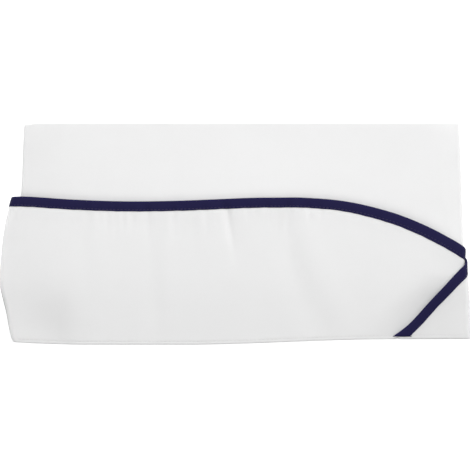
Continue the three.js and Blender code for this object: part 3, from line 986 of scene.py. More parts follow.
class NodeTree:
    """A shader tree that is written node by node."""

    def __init__(self, tree: bpy.types.NodeTree) -> None:
        """Keeps the tree to write in."""
        self.tree = tree
        self.column = 0

    def feed(self, node: bpy.types.Node, inputs: dict[str | int, Value]) -> None:
        """Sets inputs of a node.

        Args:
            node: the node.
            inputs: for input names or numbers, a value or the socket that feeds it.
        """
        for name, value in inputs.items():
            if isinstance(value, bpy.types.NodeSocket):
                self.tree.links.new(value, node.inputs[name])
            else:
                node.inputs[name].default_value = value

    def add(
        self, kind: str, inputs: dict[str | int, Value] | None = None, **settings: Setting
    ) -> bpy.types.Node:
        """Adds a node.

        Args:
            kind: its type.
            inputs: for input names or numbers, a value or the socket that feeds it.
            settings: its own properties.

        Returns:
            The node.
        """
        node = self.tree.nodes.new(kind)
        self.column += 1
        node.location = (self.column * 180, 0)
        for name, value in settings.items():
            setattr(node, name, value)
        self.feed(node, inputs or {})
        return node

    def math(
        self, operation: str, a: Number, b: Number = 0.0, c: Number = 0.0
    ) -> bpy.types.NodeSocket:
        """Adds a sum and returns its result."""
        node = self.add("ShaderNodeMath", {0: a, 1: b, 2: c}, operation=operation)
        return node.outputs[0]

    def clamp(self, value: Number) -> bpy.types.NodeSocket:
        """Adds a clamp to the range from 0 to 1 and returns its result."""
        return self.add("ShaderNodeClamp", {"Value": value}).outputs[0]

    def noise(
        self, vector: bpy.types.NodeSocket, scale: Number, detail: float = 2.0, rough: float = 0.5
    ) -> bpy.types.NodeSocket:
        """Adds a noise texture.

        Args:
            vector: where to read it.
            scale: patches for each metre.
            detail: number of finer octaves.
            rough: how strong they are.

        Returns:
            Its value, from 0 to 1.
        """
        node = self.add(
            "ShaderNodeTexNoise",
            {"Vector": vector, "Scale": scale, "Detail": detail, "Roughness": rough},
        )
        return node.outputs["Fac"]

    def mixed(self, share: Number, low: Colour, high: Colour) -> bpy.types.NodeSocket:
        """Adds a mix of two colours and returns it."""
        inputs = {"Factor": share, "A": (*low, 1), "B": (*high, 1)}
        return self.add("ShaderNodeMix", inputs, data_type="RGBA").outputs["Result"]

    def bump(
        self,
        height: bpy.types.NodeSocket,
        distance: float,
        base: bpy.types.NodeSocket | None = None,
    ) -> bpy.types.NodeSocket:
        """Adds a bump.

        Args:
            height: the relief, from 0 to 1.
            distance: its height, in metres.
            base: the normal of a bump that lies under it, or None.

        Returns:
            The bumped normal.
        """
        inputs = {"Height": height, "Distance": distance, "Strength": 1.0}
        if base is not None:
            inputs["Normal"] = base
        return self.add("ShaderNodeBump", inputs).outputs["Normal"]


def new_group(name: str, inputs: dict[str, float], outputs: Sequence[str]) -> NodeTree:
    """Starts a shader node group with named sockets.

    Args:
        name: the group's name.
        inputs: names and defaults of its number inputs; it also has a Vector input.
        outputs: names of its number outputs.

    Returns:
        The group's tree.
    """
    tree = bpy.data.node_groups.new(name, "ShaderNodeTree")
    sockets = tree.interface
    sockets.new_socket("Vector", in_out="INPUT", socket_type="NodeSocketVector")
    for label, default in inputs.items():
        socket = sockets.new_socket(label, in_out="INPUT", socket_type="NodeSocketFloat")
        socket.default_value = default
    for label in outputs:
        sockets.new_socket(label, in_out="OUTPUT", socket_type="NodeSocketFloat")
    return NodeTree(tree)


def weave_group() -> bpy.types.NodeTree:
    """Makes the weave that every cloth of the cap shows.

    Returns:
        A group that puts out the height of the threads and how uneven they are.
    """
    name = "woven_threads"
    if name in bpy.data.node_groups:
        return bpy.data.node_groups[name]
    nodes = new_group(name, {"Threads per m": 2200.0, "Slant": 0.0}, ["Height", "Slub"])
    given = nodes.add("NodeGroupInput").outputs
    parts = nodes.add("ShaderNodeSeparateXYZ", {0: given["Vector"]}).outputs
    wander = nodes.noise(given["Vector"], 240.0, 2.0)
    shift = nodes.math("MULTIPLY", nodes.math("SUBTRACT", wander, 0.5), 0.9)
    across = nodes.math("MULTIPLY_ADD", parts["X"], given["Threads per m"], shift)
    along = nodes.math("MULTIPLY_ADD", parts["Y"], given["Threads per m"], shift)
    slanted = nodes.math("MULTIPLY_ADD", along, given["Slant"], across)
    warp = nodes.math("SINE", nodes.math("MULTIPLY", slanted, 2 * math.pi))
    weft = nodes.math("SINE", nodes.math("MULTIPLY", along, 2 * math.pi))
    plain = nodes.math("MULTIPLY", warp, weft)
    to_twill = nodes.math("SUBTRACT", nodes.math("ABSOLUTE", warp), plain)
    height = nodes.math("MULTIPLY_ADD", to_twill, given["Slant"], plain)
    slub = nodes.noise(given["Vector"], 620.0, 3.0, 0.6)
    nodes.add("NodeGroupOutput", {"Height": height, "Slub": slub})
    return nodes.tree


def mottle_group() -> bpy.types.NodeTree:
    """Makes the faint unevenness of washed cloth.

    Returns:
        A group that puts out a broad tone from -1 to 1 and a fine crumple.
    """
    name = "washed_mottle"
    if name in bpy.data.node_groups:
        return bpy.data.node_groups[name]
    nodes = new_group(name, {"Patch per m": 28.0, "Crumple per m": 150.0}, ["Tone", "Crumple"])
    given = nodes.add("NodeGroupInput").outputs
    patch = nodes.noise(given["Vector"], given["Patch per m"], 3.0)
    tone = nodes.math("MULTIPLY", nodes.math("SUBTRACT", patch, 0.5), 2.0)
    crumple = nodes.noise(given["Vector"], given["Crumple per m"])
    nodes.add("NodeGroupOutput", {"Tone": tone, "Crumple": crumple})
    return nodes.tree


@dataclass(frozen=True)
class Finish:
    """A finish, whose material is made once.

    Attributes:
        name: of the material.
    """

    name: str

    def material(self) -> bpy.types.Material:
        """Makes the material, once.

        Returns:
            The material.
        """
        if self.name in bpy.data.materials:
            return bpy.data.materials[self.name]
        material = bpy.data.materials.new(self.name)
        material.use_nodes = True
        nodes = NodeTree(material.node_tree)
        self.paint(nodes, nodes.tree.nodes["Principled BSDF"])
        return material

    def paint(self, nodes: NodeTree, shader: bpy.types.Node) -> None:
        """Writes the nodes that lead to the shader; each kind of finish has its own."""
        raise NotImplementedError


@dataclass(frozen=True)
class ClothFinish(Finish):
    """A woven cloth: its colour, its threads and how washed it is.

    Attributes:
        colour: of the cloth.
        shade: its colour between the threads, which is painted shade in the weave's hollows; the
            slubs and the washed tone also lean towards it.
        threads: threads for each metre.
        slant: 0 for a plain weave, 1 for a twill.
        bias: angle of the threads to the piece's own length, in degrees.
        relief: height of the threads, in metres.
        crumple: height of the small crumples, in metres.
        tone: how much its colour varies.
        roughness: of the surface.
        sheen: of its fibres.
        specular: how much its threads shine.
        glow: share of the light that spreads inside the cloth.
        glow_reach: how far it spreads, in metres.
    """

    colour: Colour
    shade: Colour
    threads: float
    slant: float
    bias: float
    relief: float
    crumple: float
    tone: float
    roughness: float
    sheen: float
    specular: float
    glow: float = 0.0
    glow_reach: float = 0.0012

    def paint(self, nodes: NodeTree, shader: bpy.types.Node) -> None:
        """Writes the weave, with painted shade between its threads, and the washed unevenness into
        the material.

        Args:
            nodes: the material's tree.
            shader: its Principled shader.
        """
        flat = nodes.add("ShaderNodeUVMap", uv_map="cloth").outputs["UV"]
        turn = (0, 0, math.radians(self.bias))
        turned = nodes.add("ShaderNodeMapping", {"Vector": flat, "Rotation": turn})
        weave = nodes.add(
            "ShaderNodeGroup",
            {
                "Vector": turned.outputs["Vector"],
                "Threads per m": self.threads,
                "Slant": self.slant,
            },
            node_tree=weave_group(),
        ).outputs
        place = nodes.add("ShaderNodeNewGeometry").outputs["Position"]
        washed = nodes.add(
            "ShaderNodeGroup", {"Vector": place}, node_tree=mottle_group()
        ).outputs

        uneven = nodes.math("MULTIPLY", washed["Tone"], self.tone)
        # The colour falls towards shade between the threads: painted shade in the weave's hollows.
        # The slubs and the washed tone are the cloth's own.
        thread = nodes.math("MULTIPLY_ADD", weave["Height"], 0.25, 0.75)
        slubbed = nodes.math("MULTIPLY_ADD", weave["Slub"], 0.25, thread)
        share = nodes.clamp(nodes.math("ADD", slubbed, uneven))
        soft = nodes.bump(washed["Crumple"], self.crumple)
        nodes.feed(
            shader,
            {
                "Base Color": nodes.mixed(share, self.shade, self.colour),
                "Roughness": nodes.math(
                    "MULTIPLY_ADD", weave["Slub"], 0.12, self.roughness - 0.06
                ),
                "Sheen Weight": self.sheen,
                "Sheen Roughness": 0.5,
                "Specular IOR Level": self.specular,
                "Subsurface Weight": self.glow,
                "Subsurface Radius": (1.0, 1.0, 1.0),
                "Subsurface Scale": self.glow_reach,
                "Normal": nodes.bump(weave["Height"], self.relief, soft),
            },
        )


WHITE_COTTON = ClothFinish(
    name="white_cotton_twill",
    colour=(0.80, 0.80, 0.80),
    shade=(0.70, 0.70, 0.70),
    threads=2500.0,
    slant=0.6,
    bias=0.0,
    relief=0.00003,
    crumple=0.00006,
    tone=0.12,
    roughness=0.9,
    sheen=0.06,
    specular=0.2,
    glow=0.5,
)
# A darker copy of the white cotton for the left half of the cuff and its lap: painted shade, for
# the shade that the lap's turn away from the light does not give.
SHADED_LEFT_COTTON = replace(
    WHITE_COTTON,
    name="white_cotton_twill_painted_shade",
    colour=(0.75, 0.75, 0.75),
    shade=(0.65, 0.65, 0.65),
)
NAVY_TAPE = ClothFinish(
    name="navy_bias_tape",
    colour=(0.0155, 0.0135, 0.057),
    shade=(0.007, 0.006, 0.026),
    threads=1500.0,
    slant=1.0,
    bias=45.0,
    relief=0.00006,
    crumple=0.00005,
    tone=0.25,
    roughness=0.85,
    sheen=0.02,
    specular=0.08,
)


@dataclass(frozen=True)
class ThreadFinish(Finish):
    """Sewing thread, with the turns of its plies.

    Attributes:
        colour: of the thread.
        turns: plies for each metre.
        relief: height of the plies, in metres.
    """

    colour: Colour
    turns: float = 1600.0
    relief: float = 0.00003

    def paint(self, nodes: NodeTree, shader: bpy.types.Node) -> None:
        """Writes the twist of the plies into the material, with painted shade in the grooves
        between them.

        Args:
            nodes: the material's tree.
            shader: its Principled shader.
        """
        place = nodes.add("ShaderNodeNewGeometry").outputs["Position"]
        parts = nodes.add("ShaderNodeSeparateXYZ", {0: place}).outputs
        ply = nodes.math("MULTIPLY", nodes.math("ADD", parts["X"], parts["Y"]), self.turns)
        twist = nodes.math("SINE", nodes.math("MULTIPLY", ply, 2 * math.pi))
        # Darker in the grooves between the plies: painted shade.
        share = nodes.math("MULTIPLY_ADD", twist, 0.12, 0.88)
        nodes.feed(
            shader,
            {
                "Base Color": nodes.mixed(share, (0, 0, 0), self.colour),
                "Roughness": 0.6,
                "Sheen Weight": 0.1,
                "Normal": nodes.bump(twist, self.relief),
            },
        )


WHITE_THREAD = ThreadFinish("white_thread", (0.84, 0.84, 0.84))
NAVY_THREAD = ThreadFinish("navy_thread", (0.021, 0.018, 0.064))


def dress(thing: bpy.types.Object, material: bpy.types.Material) -> None:
    """Gives a piece its material and lets it ride on the cap.

    Args:
        thing: the piece.
        material: its finish.
    """
    thing.data.materials.clear()
    thing.data.materials.append(material)
    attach(thing, "root")
    log.info("%s: %d faces", thing.name, len(thing.data.polygons))


# ---------------------------------------------------------------------------------------------
# Crown
# ---------------------------------------------------------------------------------------------


@dataclass
class Crown:
    """The plain crown: two walls that meet at the folds, and a top panel pleated between them.

    Attributes:
        shape: the cap.
        cloth: thickness of its cloth.
        seam_gap: between the walls at the folds.
        roll: radius of the seam's roll along the top edge.
        least_roll: its radius where the folds leave the least room.
        roll_room: room that the roll leaves free in the middle of the cap.
        hem_lift: height of its raw edge above the hem.
        spacing: of the mesh's columns.
        fold_spacing: the same round a fold and beside it.
        beside_fold: length of the finer mesh beside a fold.
        rows: of the mesh above its raw edge.
        edge_rows: of the mesh within the raw edge, and the share of the height that they cover.
        spread: how much farther out its folds lie than the solids'.
        seam_pull: how far the top seam draws the cloth up and down.
        pull_length: how far down from the top edge that reaches.
        ease: height of the broad, slow rises of the walls.
        ease_starts: stations between which they start.
        left_share: how much of both the left wall shows.
        pleat_inset: how far inside the folds the top panel starts and ends.
        pleat_depth: of the top panel at its ends, and how much deeper it is in the middle.
        pleat_curve: how late it gets shallower towards its ends.
        pleat_drop: how far below the seam's roll its edges are sewn in.
        pleat_cloth: thickness of the top panel.
        pleat_rows: of each of its leaves.
        pleat_spacing: of its mesh's columns at its ends and between them.
        pleat_ends: length of its ends.
    """

    shape: CapShape
    cloth: float = 0.6
    seam_gap: float = 0.12
    roll: float = 0.5
    least_roll: float = 0.16
    roll_room: float = 0.5
    hem_lift: float = 0.95
    spacing: float = 1.1
    fold_spacing: tuple[float, float] = (0.25, 0.5)
    beside_fold: float = 6.0
    rows: int = 118
    edge_rows: tuple[int, float] = (4, 0.012)
    spread: float = 0.4
    seam_pull: float = 0.1
    pull_length: float = 9.0
    ease: float = 0.2
    ease_starts: tuple[float, float] = (24.0, 60.0)
    left_share: float = 0.3
    pleat_inset: float = 15.0
    pleat_depth: tuple[float, float] = (4.0, 26.0)
    pleat_curve: float = 2.4
    pleat_drop: float = 0.55
    pleat_cloth: float = 0.5
    pleat_rows: int = 26
    pleat_spacing: tuple[float, float] = (0.6, 1.4)
    pleat_ends: float = 8.0

    def __post_init__(self) -> None:
        """Moves its folds out: its cloth is thinner than the solids', with the same outline."""
        back = tuple(inset - self.spread / 2 for inset in self.shape.crown_back)
        front = tuple(station + self.spread for station in self.shape.crown_front)
        self.shape = replace(self.shape, crown_back=back, crown_front=front)

    def layer(self, side: Side) -> Layer:
        """Sets out the layer that a side of the crown is laid on.

        Args:
            side: which one.

        Returns:
            The layer.
        """
        shape = self.shape
        level = shape.crown_right_level if side is Side.RIGHT else shape.crown_left_level
        return Layer(
            shape=shape,
            side=side,
            back_centre=shape.crown_back_centre,
            back_turn=shape.crown_turn,
            front_turn=shape.crown_turn,
            lean_heights=(shape.height, shape.edge_at_front),
            level=level,
            lap_level=level,
        )

    def detail(self, side: Side, x: Array, y: Array) -> Array:
        """Works out the small rises and falls of a wall: the seam's pull and a broad ease.

        Args:
            side: which wall.
            x: stations.
            y: heights on the cap.

        Returns:
            How far they lift the cloth.
        """
        top = self.shape.crown_top(x) - y
        near_top = bell(top / self.pull_length)
        pull = self.seam_pull * np.sin(x / 5.3 + 1.7 * np.sin(x / 17.0)) * near_top
        broad = self.ease * np.sin(x / 37.0 + 0.6) * np.sin(y / 23.0 + 1.1)
        inside = smoothstep(x, *self.ease_starts) * smoothstep(296 - x, 6, 50)
        share = 1.0 if side is Side.RIGHT else self.left_share
        return share * (pull + broad * inside)

    def roll_radius(self, x: Array) -> Array:
        """Works out the top edge's roll, for which the folds leave less room.

        Args:
            x: how far forward.

        Returns:
            Its radius.
        """
        shape = self.shape
        y = shape.crown_top(x)
        room = 2 * shape.crown_turn + shape.opening(x, y, shape.crown_back_centre(y))
        return np.clip((room / 2 - self.roll_room) / 2, self.least_roll, self.roll)

    def wall(self, side: Side) -> bpy.types.Object:
        """Builds a side of the crown.

        Args:
            side: which one.

        Returns:
            The mesh object.
        """
        shape = self.shape
        layer = self.layer(side)
        back = float(shape.crown_back_centre(shape.height))
        front = layer.front_start
        in_fold, beside = self.fold_spacing
        x = spaced(
            (layer.back_line + self.seam_gap / 2, in_fold), (back, beside),
            (back + self.beside_fold, self.spacing), (front - self.beside_fold, beside),
            (front, in_fold), (layer.front_line - self.seam_gap / 2, 0),
        )[:, None]  # fmt: skip
        count, part = self.edge_rows
        share = np.r_[np.linspace(0, part, count, endpoint=False), np.linspace(part, 1, self.rows)]
        radius = self.roll_radius(np.clip(x, back, front))
        low = shape.hem(x) + self.hem_lift
        high = shape.crown_top(x) - radius
        y = lerp(low, high, share)
        wide = x * np.ones(len(share))
        lift = self.detail(side, wide, y)
        outward = layer.normal(wide, y)
        angles = np.radians([22, 45, 68, 90, 112, 135, 158, 176])
        rolled, facing = layer.rolled(
            (x, high, lift[:, -1:]), outward[:, -1:], radius, angles, up=1
        )
        unrolled = high + radius * (np.sin(angles) + 1 - np.cos(angles))
        grid = ClothGrid(
            points=np.concatenate([layer.place(wide, y, lift), rolled], axis=1),
            outward=np.concatenate([outward, facing], axis=1),
            thickness=self.cloth,
            uv=joined(x, np.concatenate([y, unrolled], axis=1)),
        )
        return grid.build(f"crown_{side.name.lower()}_cloth", shape)

    def gusset(self) -> bpy.types.Object:
        """Builds the top panel, folded along its middle into a pleat between the walls.

        Returns:
            The mesh object.
        """
        shape = self.shape
        start = float(shape.crown_back_centre(shape.height)) + self.pleat_inset
        end = float(shape.front_centre(shape.height)) - self.pleat_inset
        fine, coarse = self.pleat_spacing
        inner = (start + self.pleat_ends, coarse), (end - self.pleat_ends, fine)
        x = spaced((start, fine), *inner, (end, 0))[:, None]
        from_middle = np.abs(2 * (x - start) / (end - start) - 1)
        at_end, more = self.pleat_depth
        turn = shape.crown_turn
        top = shape.crown_top(x) - self.roll - self.pleat_drop
        fold = shape.crown_top(x) - at_end - more * (1 - from_middle**self.pleat_curve) + turn
        step = 2 * self.roll
        wave = 0.12 * np.sin(x / 9.0) + 0.08 * np.sin(x / 4.1 + 1.0)

        def left_leaf(y: Array) -> Array:
            """Returns the height of the leaf on the left wall."""
            return shape.crown_left_level(x, y) + step + wave * (y < top - 0.1)

        def right_leaf(y: Array) -> Array:
            """Works out the leaf that rises from the pleat's fold to the right wall.

            Args:
                y: heights on the cap.

            Returns:
                Its height above the floor.
            """
            up = np.clip((y - fold) / (shape.crown_top(x) - fold), 0, 1)
            at_top = shape.crown_right_level(x, shape.crown_top(x)) - step
            return lerp(left_leaf(y) + 2 * turn, at_top, up)

        rows = self.pleat_rows
        down = lerp(fold, top, np.linspace(1, 0, rows))
        angles = np.radians([60, 30, 0, -30, -60])
        bend_z = left_leaf(fold) + turn + turn * np.sin(angles)
        y = np.concatenate([down, fold - turn * np.cos(angles), down[:, ::-1]], axis=1)
        z = np.concatenate([right_leaf(down), bend_z, left_leaf(down[:, ::-1])], axis=1)
        points = joined(x, y, z)
        outward = np.zeros_like(points)
        outward[:, :rows, 2] = 1
        outward[:, -rows:, 2] = -1
        outward[:, rows:-rows, 1] = -1
        outward[:, rows:-rows, 2] = np.sin(angles)
        uv = joined(x, np.cumsum(np.abs(np.gradient(y, axis=1)), axis=1))
        return ClothGrid(points, outward, self.pleat_cloth, uv).build("gusset_cloth", shape)

    def build(self) -> list[bpy.types.Object]:
        """Builds and dresses the crown, and hides the solids that it stands in for.

        Returns:
            Its pieces.
        """
        material = WHITE_COTTON.material()
        right, left, gusset = self.wall(Side.RIGHT), self.wall(Side.LEFT), self.gusset()
        for piece, node in (
            (right, "crown_side_right"), (left, "crown_side_left"), (gusset, "crown_gusset"),
        ):  # fmt: skip
            dress(piece, material)
            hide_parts(node)
        return [right, left, gusset]


# ---------------------------------------------------------------------------------------------
# Cuff
# ---------------------------------------------------------------------------------------------


@dataclass
class Cuff:
    """The deep turned-up cuff, in a right and a left half that meet at the back.

    Attributes:
        shape: the cap.
        cloth: thickness of its two plies.
        binding_height: height of its free edge at the back fold.
        spacing: of the mesh's columns.
        seam_height: height of the stitched line above the hem.
        seam_depth: how deep the stitches pull it in.
        seam_width: half the width of the furrow that they make.
        hem_fold: height of the hem that its finer rows cover.
        hem_rows: number of those rows.
        hem_roll: radius of the right half's hem.
        lap_hem_roll: radius of the left half's hem, and of the lap's.
        lap_hem_span: stations between which it changes from one to the other.
        tucked_rise: how far the hem of the right half rises beneath the lap.
        tucked_span: stations between which it does.
        lap_short: how far before the tape's end the cloth of the lap ends.
        body_rows: rows of the mesh between each half's hem and its binding.
        gather: how strongly the binding gathers it; the puckers' depths are for 1.
        gather_starts: stations between which the gathers start, at the back.
        gather_fade: length over which they end, at the front fold.
        flat_gather: share of them in the left half, which lies pressed.
        tape_ridge: how far the binding's edge holds it up.
        ridge_start: how far below the binding that starts.
        ridge_length: length over which it rises.
        puckers: the small gathers under the binding.
    """

    shape: CapShape
    cloth: float = 0.85
    binding_height: float = 94.0
    spacing: float = 0.85
    seam_height: float = 1.9
    seam_depth: float = 0.07
    seam_width: float = 0.45
    hem_fold: float = 4.2
    hem_rows: int = 15
    hem_roll: float = 0.575
    lap_hem_roll: tuple[float, float] = (0.6, 0.75)
    lap_hem_span: tuple[float, float] = (240.0, 290.0)
    tucked_rise: float = 0.9
    tucked_span: tuple[float, float] = (250.0, 258.0)
    lap_short: float = 4.0
    body_rows: dict[Side, int] = field(default_factory=lambda: {Side.RIGHT: 96, Side.LEFT: 84})
    gather: float = 1.25
    gather_starts: tuple[float, float] = (6.0, 16.0)
    gather_fade: float = 14.0
    flat_gather: float = 0.35
    tape_ridge: float = 0.22
    ridge_start: float = 10.0
    ridge_length: float = 11.0
    puckers: tuple[Pucker, ...] = (
        Pucker(station=11.5, width=1.6, length=7, depth=0.45),
        Pucker(station=16.5, width=1.5, length=5, depth=0.3),
        Pucker(station=56.6, width=2.4, length=9, depth=0.28),
        Pucker(station=64.3, width=1.8, length=8, depth=0.26),
        Pucker(station=69.4, width=1.6, length=10, depth=0.30),
        Pucker(station=74.6, width=1.8, length=13, depth=0.34),
        Pucker(station=79.0, width=1.5, length=9, depth=0.26),
        Pucker(station=84.8, width=1.8, length=9, depth=0.34),
        Pucker(station=95.0, width=1.9, length=13, depth=0.42),
        Pucker(station=111.0, width=2.0, length=12, depth=0.40),
        Pucker(station=131.8, width=2.2, length=13, depth=0.36),
        Pucker(station=145.0, width=2.1, length=24, depth=0.55, lean=0.16),
        Pucker(station=158.5, width=1.6, length=6, depth=0.22),
        Pucker(station=171.2, width=1.8, length=9, depth=0.34),
        Pucker(station=184.6, width=1.9, length=12, depth=0.45, lean=-0.1),
        Pucker(station=197.4, width=1.6, length=7, depth=0.34),
        Pucker(station=205.1, width=1.5, length=6, depth=0.26),
        Pucker(station=224.0, width=2.0, length=7, depth=0.18),
        Pucker(station=243.0, width=2.0, length=6, depth=0.16),
    )

    def layer(self, side: Side) -> Layer:
        """Sets out the layer that a half of the cuff is laid on.

        Args:
            side: which half.

        Returns:
            The layer.
        """
        shape = self.shape
        if side is Side.RIGHT:
            return Layer(
                shape=shape,
                side=side,
                back_centre=shape.right_back_centre,
                back_turn=shape.cuff_turn,
                front_turn=shape.cuff_turn,
                lean_heights=(self.binding_height, shape.edge_at_front),
                level=shape.cuff_right_level,
                lap_level=lambda x, y: shape.centre_height(x, y) - shape.cuff_turn,
            )
        return Layer(
            shape=shape,
            side=side,
            back_centre=shape.left_back_centre,
            back_turn=shape.cuff_turn,
            front_turn=shape.lap_turn,
            lean_heights=(self.binding_height, shape.edge_at_front),
            level=shape.cuff_left_level,
            lap_level=shape.lap_level,
        )

    def edge(self, side: Side) -> SmoothLine:
        """Returns the free edge of a half's binding."""
        return self.shape.right_edge if side is Side.RIGHT else self.shape.left_edge

    def detail(self, side: Side, x: Array, y: Array) -> Array:
        """Works out the small gathers, the ridge beside the binding and the stitched line.

        Args:
            side: which half.
            x: stations.
            y: heights on the cap.

        Returns:
            How far they lift the cloth off its smooth lie.
        """
        shape = self.shape
        below = self.edge(side)(x) - shape.tape_width - y
        lift = -self.gather * sum(pucker(x, below) for pucker in self.puckers)
        to_front = shape.front_centre(y) - x
        starting = smoothstep(x, *self.gather_starts)
        lift = lift * smoothstep(to_front, 0, self.gather_fade) * starting
        near_tape = self.tape_ridge * smoothstep(self.ridge_start - below, 0, self.ridge_length)
        if side is Side.LEFT:  # the floor leaves it no room outwards until it turns up
            lift = np.minimum(self.flat_gather * lift, 0)
            near_tape = near_tape * smoothstep(-to_front, 0, math.pi * shape.lap_turn)
        from_hem = y - shape.hem(x)
        seam = self.seam_depth * bell((from_hem - self.seam_height) / self.seam_width)
        return lift + near_tape - seam

    def wall(self, side: Side) -> bpy.types.Object:
        """Builds a half of the cuff, from its turned-under hem to the edge inside the binding.

        Args:
            side: which half.

        Returns:
            The mesh object.
        """
        shape = self.shape
        layer = self.layer(side)
        edge = self.edge(side)
        back = float(layer.back_centre(self.binding_height))
        front = layer.front_start
        end = shape.right_end if side is Side.RIGHT else shape.lap_tip - self.lap_short
        x = spaced(
            (layer.back_line + 0.1, 0.35), (back, 0.6), (back + 4, self.spacing),
            (front - 4, 0.5), (front, 0.4), (layer.turned, 0.6), (end, 0),
        )[:, None]  # fmt: skip
        hem = shape.hem(x)
        if side is Side.RIGHT:
            hem = hem + self.tucked_rise * smoothstep(x, *self.tucked_span)
            radius = np.full_like(x, self.hem_roll)
        else:
            radius = lerp(*self.lap_hem_roll, smoothstep(x, *self.lap_hem_span))
        high = edge(x) - np.hypot(1, edge.slope(x))
        low = np.minimum(hem + radius, high - 0.4)
        hem_top = np.minimum(low + self.hem_fold, lerp(low, high, 0.6))
        in_hem = lerp(low, hem_top, np.linspace(0, 1, self.hem_rows))
        above = lerp(hem_top, high, np.linspace(0, 1, self.body_rows[side])[1:])
        y = np.concatenate([in_hem, above], axis=1)
        wide = x * np.ones(y.shape[1])
        points = layer.place(wide, y, self.detail(side, wide, y))
        outward = layer.normal(wide, y)
        angles = np.radians([165, 140, 115, 90, 65, 42, 20])
        rolled, facing = layer.rolled(
            (x, low, self.detail(side, x, low)), outward[:, :1], radius, angles, up=-1
        )
        grid = ClothGrid(
            points=np.concatenate([rolled, points], axis=1),
            outward=np.concatenate([facing, outward], axis=1),
            thickness=self.cloth,
            uv=joined(x, np.concatenate([low - radius * angles, y], axis=1)),
        )
        return grid.build(f"cuff_{side.name.lower()}_cloth", shape)

    def build(self) -> dict[Side, bpy.types.Object]:
        """Builds and dresses both halves.

        Returns:
            The halves by side.
        """
        halves = {side: self.wall(side) for side in Side}
        for side, node, finish in (
            (Side.RIGHT, "cuff_right", WHITE_COTTON),
            # the left half and its lap take the darker cotton, which is painted shade
            (Side.LEFT, "cuff_left", SHADED_LEFT_COTTON),
        ):
            dress(halves[side], finish.material())
            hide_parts(node)
        return halves


# ---------------------------------------------------------------------------------------------
# Binding
# ---------------------------------------------------------------------------------------------


@dataclass
class Binding:
    """The navy tape folded over the free edge of the cuff, all the way round.

    Attributes:
        cuff: the cuff that it binds.
        thickness: of the folded tape with the cloth inside.
        leaf: thickness of the tape alone.
        spacing: from one section of the mesh to the next.
        tip_length: length before the lap's tip in which the tape comes to follow the hem.
        ripple: how much its width varies, slowly and quickly.
        widths: of each half's tape along the cuff, as shares of its plain width.
    """

    cuff: Cuff
    thickness: float = 1.4
    leaf: float = 0.26
    spacing: float = 0.8
    tip_length: float = 15.0
    ripple: tuple[float, float] = (0.008, 0.006)
    widths: dict[Side, SmoothLine] = field(
        default_factory=lambda: {
            Side.RIGHT: SmoothLine({215: 1.0, 250: 1.08, 285: 1.12, 306: 1.0}),
            Side.LEFT: SmoothLine({300: 1.0, 318: 0.93, 353: 0.93}),
        }
    )

    def section(self) -> tuple[Array, Array]:
        """Sets out the folded tape's outline, from its inner edge over the outer face and back.

        Returns:
            Shares of its width, and distances outwards from the middle of the cloth.
        """
        half = self.thickness / 2
        outer = np.array(
            [
                [0.990, half - 0.32], [1.004, half - 0.22], [1.008, half - 0.12],
                [0.998, half - 0.03], [0.97, half + 0.01], [0.925, half - 0.02],
                [0.885, half - 0.08], [0.855, half - 0.10], [0.825, half - 0.08],
                [0.78, half - 0.02], [0.70, half + 0.01], [0.60, half + 0.02],
                [0.48, half + 0.02], [0.36, half + 0.01], [0.24, half], [0.14, half - 0.04],
                [0.08, half - 0.12], [0.03, half - 0.32], [0.0, 0.0],
            ]
        )  # fmt: skip
        inner = np.array([[0.05, 0.0], [0.10, half - self.leaf - 0.10], [0.985, half - 0.36]])
        mirrored = outer[-2::-1] * np.array([1, -1])
        inner_low = inner[::-1] * np.array([1, -1])
        ring = np.concatenate([outer, mirrored, inner_low[:-1], inner])
        return ring[:, 0], ring[:, 1]

    def rings(self, side: Side, stations: Array) -> Array:
        """Lays sections of the tape along a half of the cuff.

        Args:
            side: which half.
            stations: where the sections cross the free edge.

        Returns:
            The sections' points, in cap millimetres.
        """
        shape = self.cuff.shape
        layer = self.cuff.layer(side)
        edge = self.cuff.edge(side)
        x = stations[:, None]
        slope = edge.slope(x)
        length = np.hypot(1, slope)
        along_hem = smoothstep(x, shape.lap_tip - self.tip_length, shape.lap_tip)
        step_x = lerp(slope / length, -1.0, along_hem)
        step_y = lerp(-1 / length, 0.0, along_hem)
        norm = np.hypot(step_x, step_y)
        step_x, step_y = step_x / norm, step_y / norm
        width = shape.tape_width * length / np.abs(step_x * slope - step_y)
        share, outward = self.section()
        slow, quick = self.ripple
        wave = 1 + slow * np.sin(stations / 2.3) + quick * np.sin(stations / 1.1 + 2)
        across = width * share * (wave * self.widths[side](stations))[:, None]
        at, y = x + step_x * across, edge(x) + step_y * across
        lift = self.cuff.detail(side, at, y)
        return layer.place(at, y, lift) + layer.normal(at, y) * outward[None, :, None]

    def build(self) -> bpy.types.Object:
        """Builds and dresses the tape, in one length.

        Returns:
            The mesh object.
        """
        shape = self.cuff.shape
        right, left = self.cuff.layer(Side.RIGHT), self.cuff.layer(Side.LEFT)
        height = self.cuff.binding_height
        along_right = spaced(
            (shape.right_end, 0.8), (right.turned, 0.4), (right.front_start, self.spacing),
            (float(right.back_centre(height)), 0.4), (right.back_line, 0),
        )  # fmt: skip
        along_left = spaced(
            (left.back_line, 0.4), (float(left.back_centre(height)), self.spacing),
            (left.front_start, 0.4), (left.turned, 0.7), (shape.lap_tip, 0),
        )[1:]  # fmt: skip
        rings = np.concatenate(
            [self.rings(Side.RIGHT, along_right), self.rings(Side.LEFT, along_left)]
        )
        count, size = rings.shape[:2]
        path = np.r_[0, np.cumsum(np.linalg.norm(np.diff(rings[:, 0], axis=0), axis=1))]
        around = np.r_[0, np.cumsum(np.linalg.norm(np.diff(rings[0], axis=0), axis=1))]
        uv = joined(path[:, None], around)
        tape = new_mesh(
            "binding_tape",
            shape.to_frame(rings.reshape(-1, 3)),
            tube_faces(count, size),
            uv.reshape(-1, 2) * MM,
        )
        make_outward(tape)
        dress(tape, NAVY_TAPE.material())
        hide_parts("cuff_binding")
        return tape


# ---------------------------------------------------------------------------------------------
# Stitches
# ---------------------------------------------------------------------------------------------


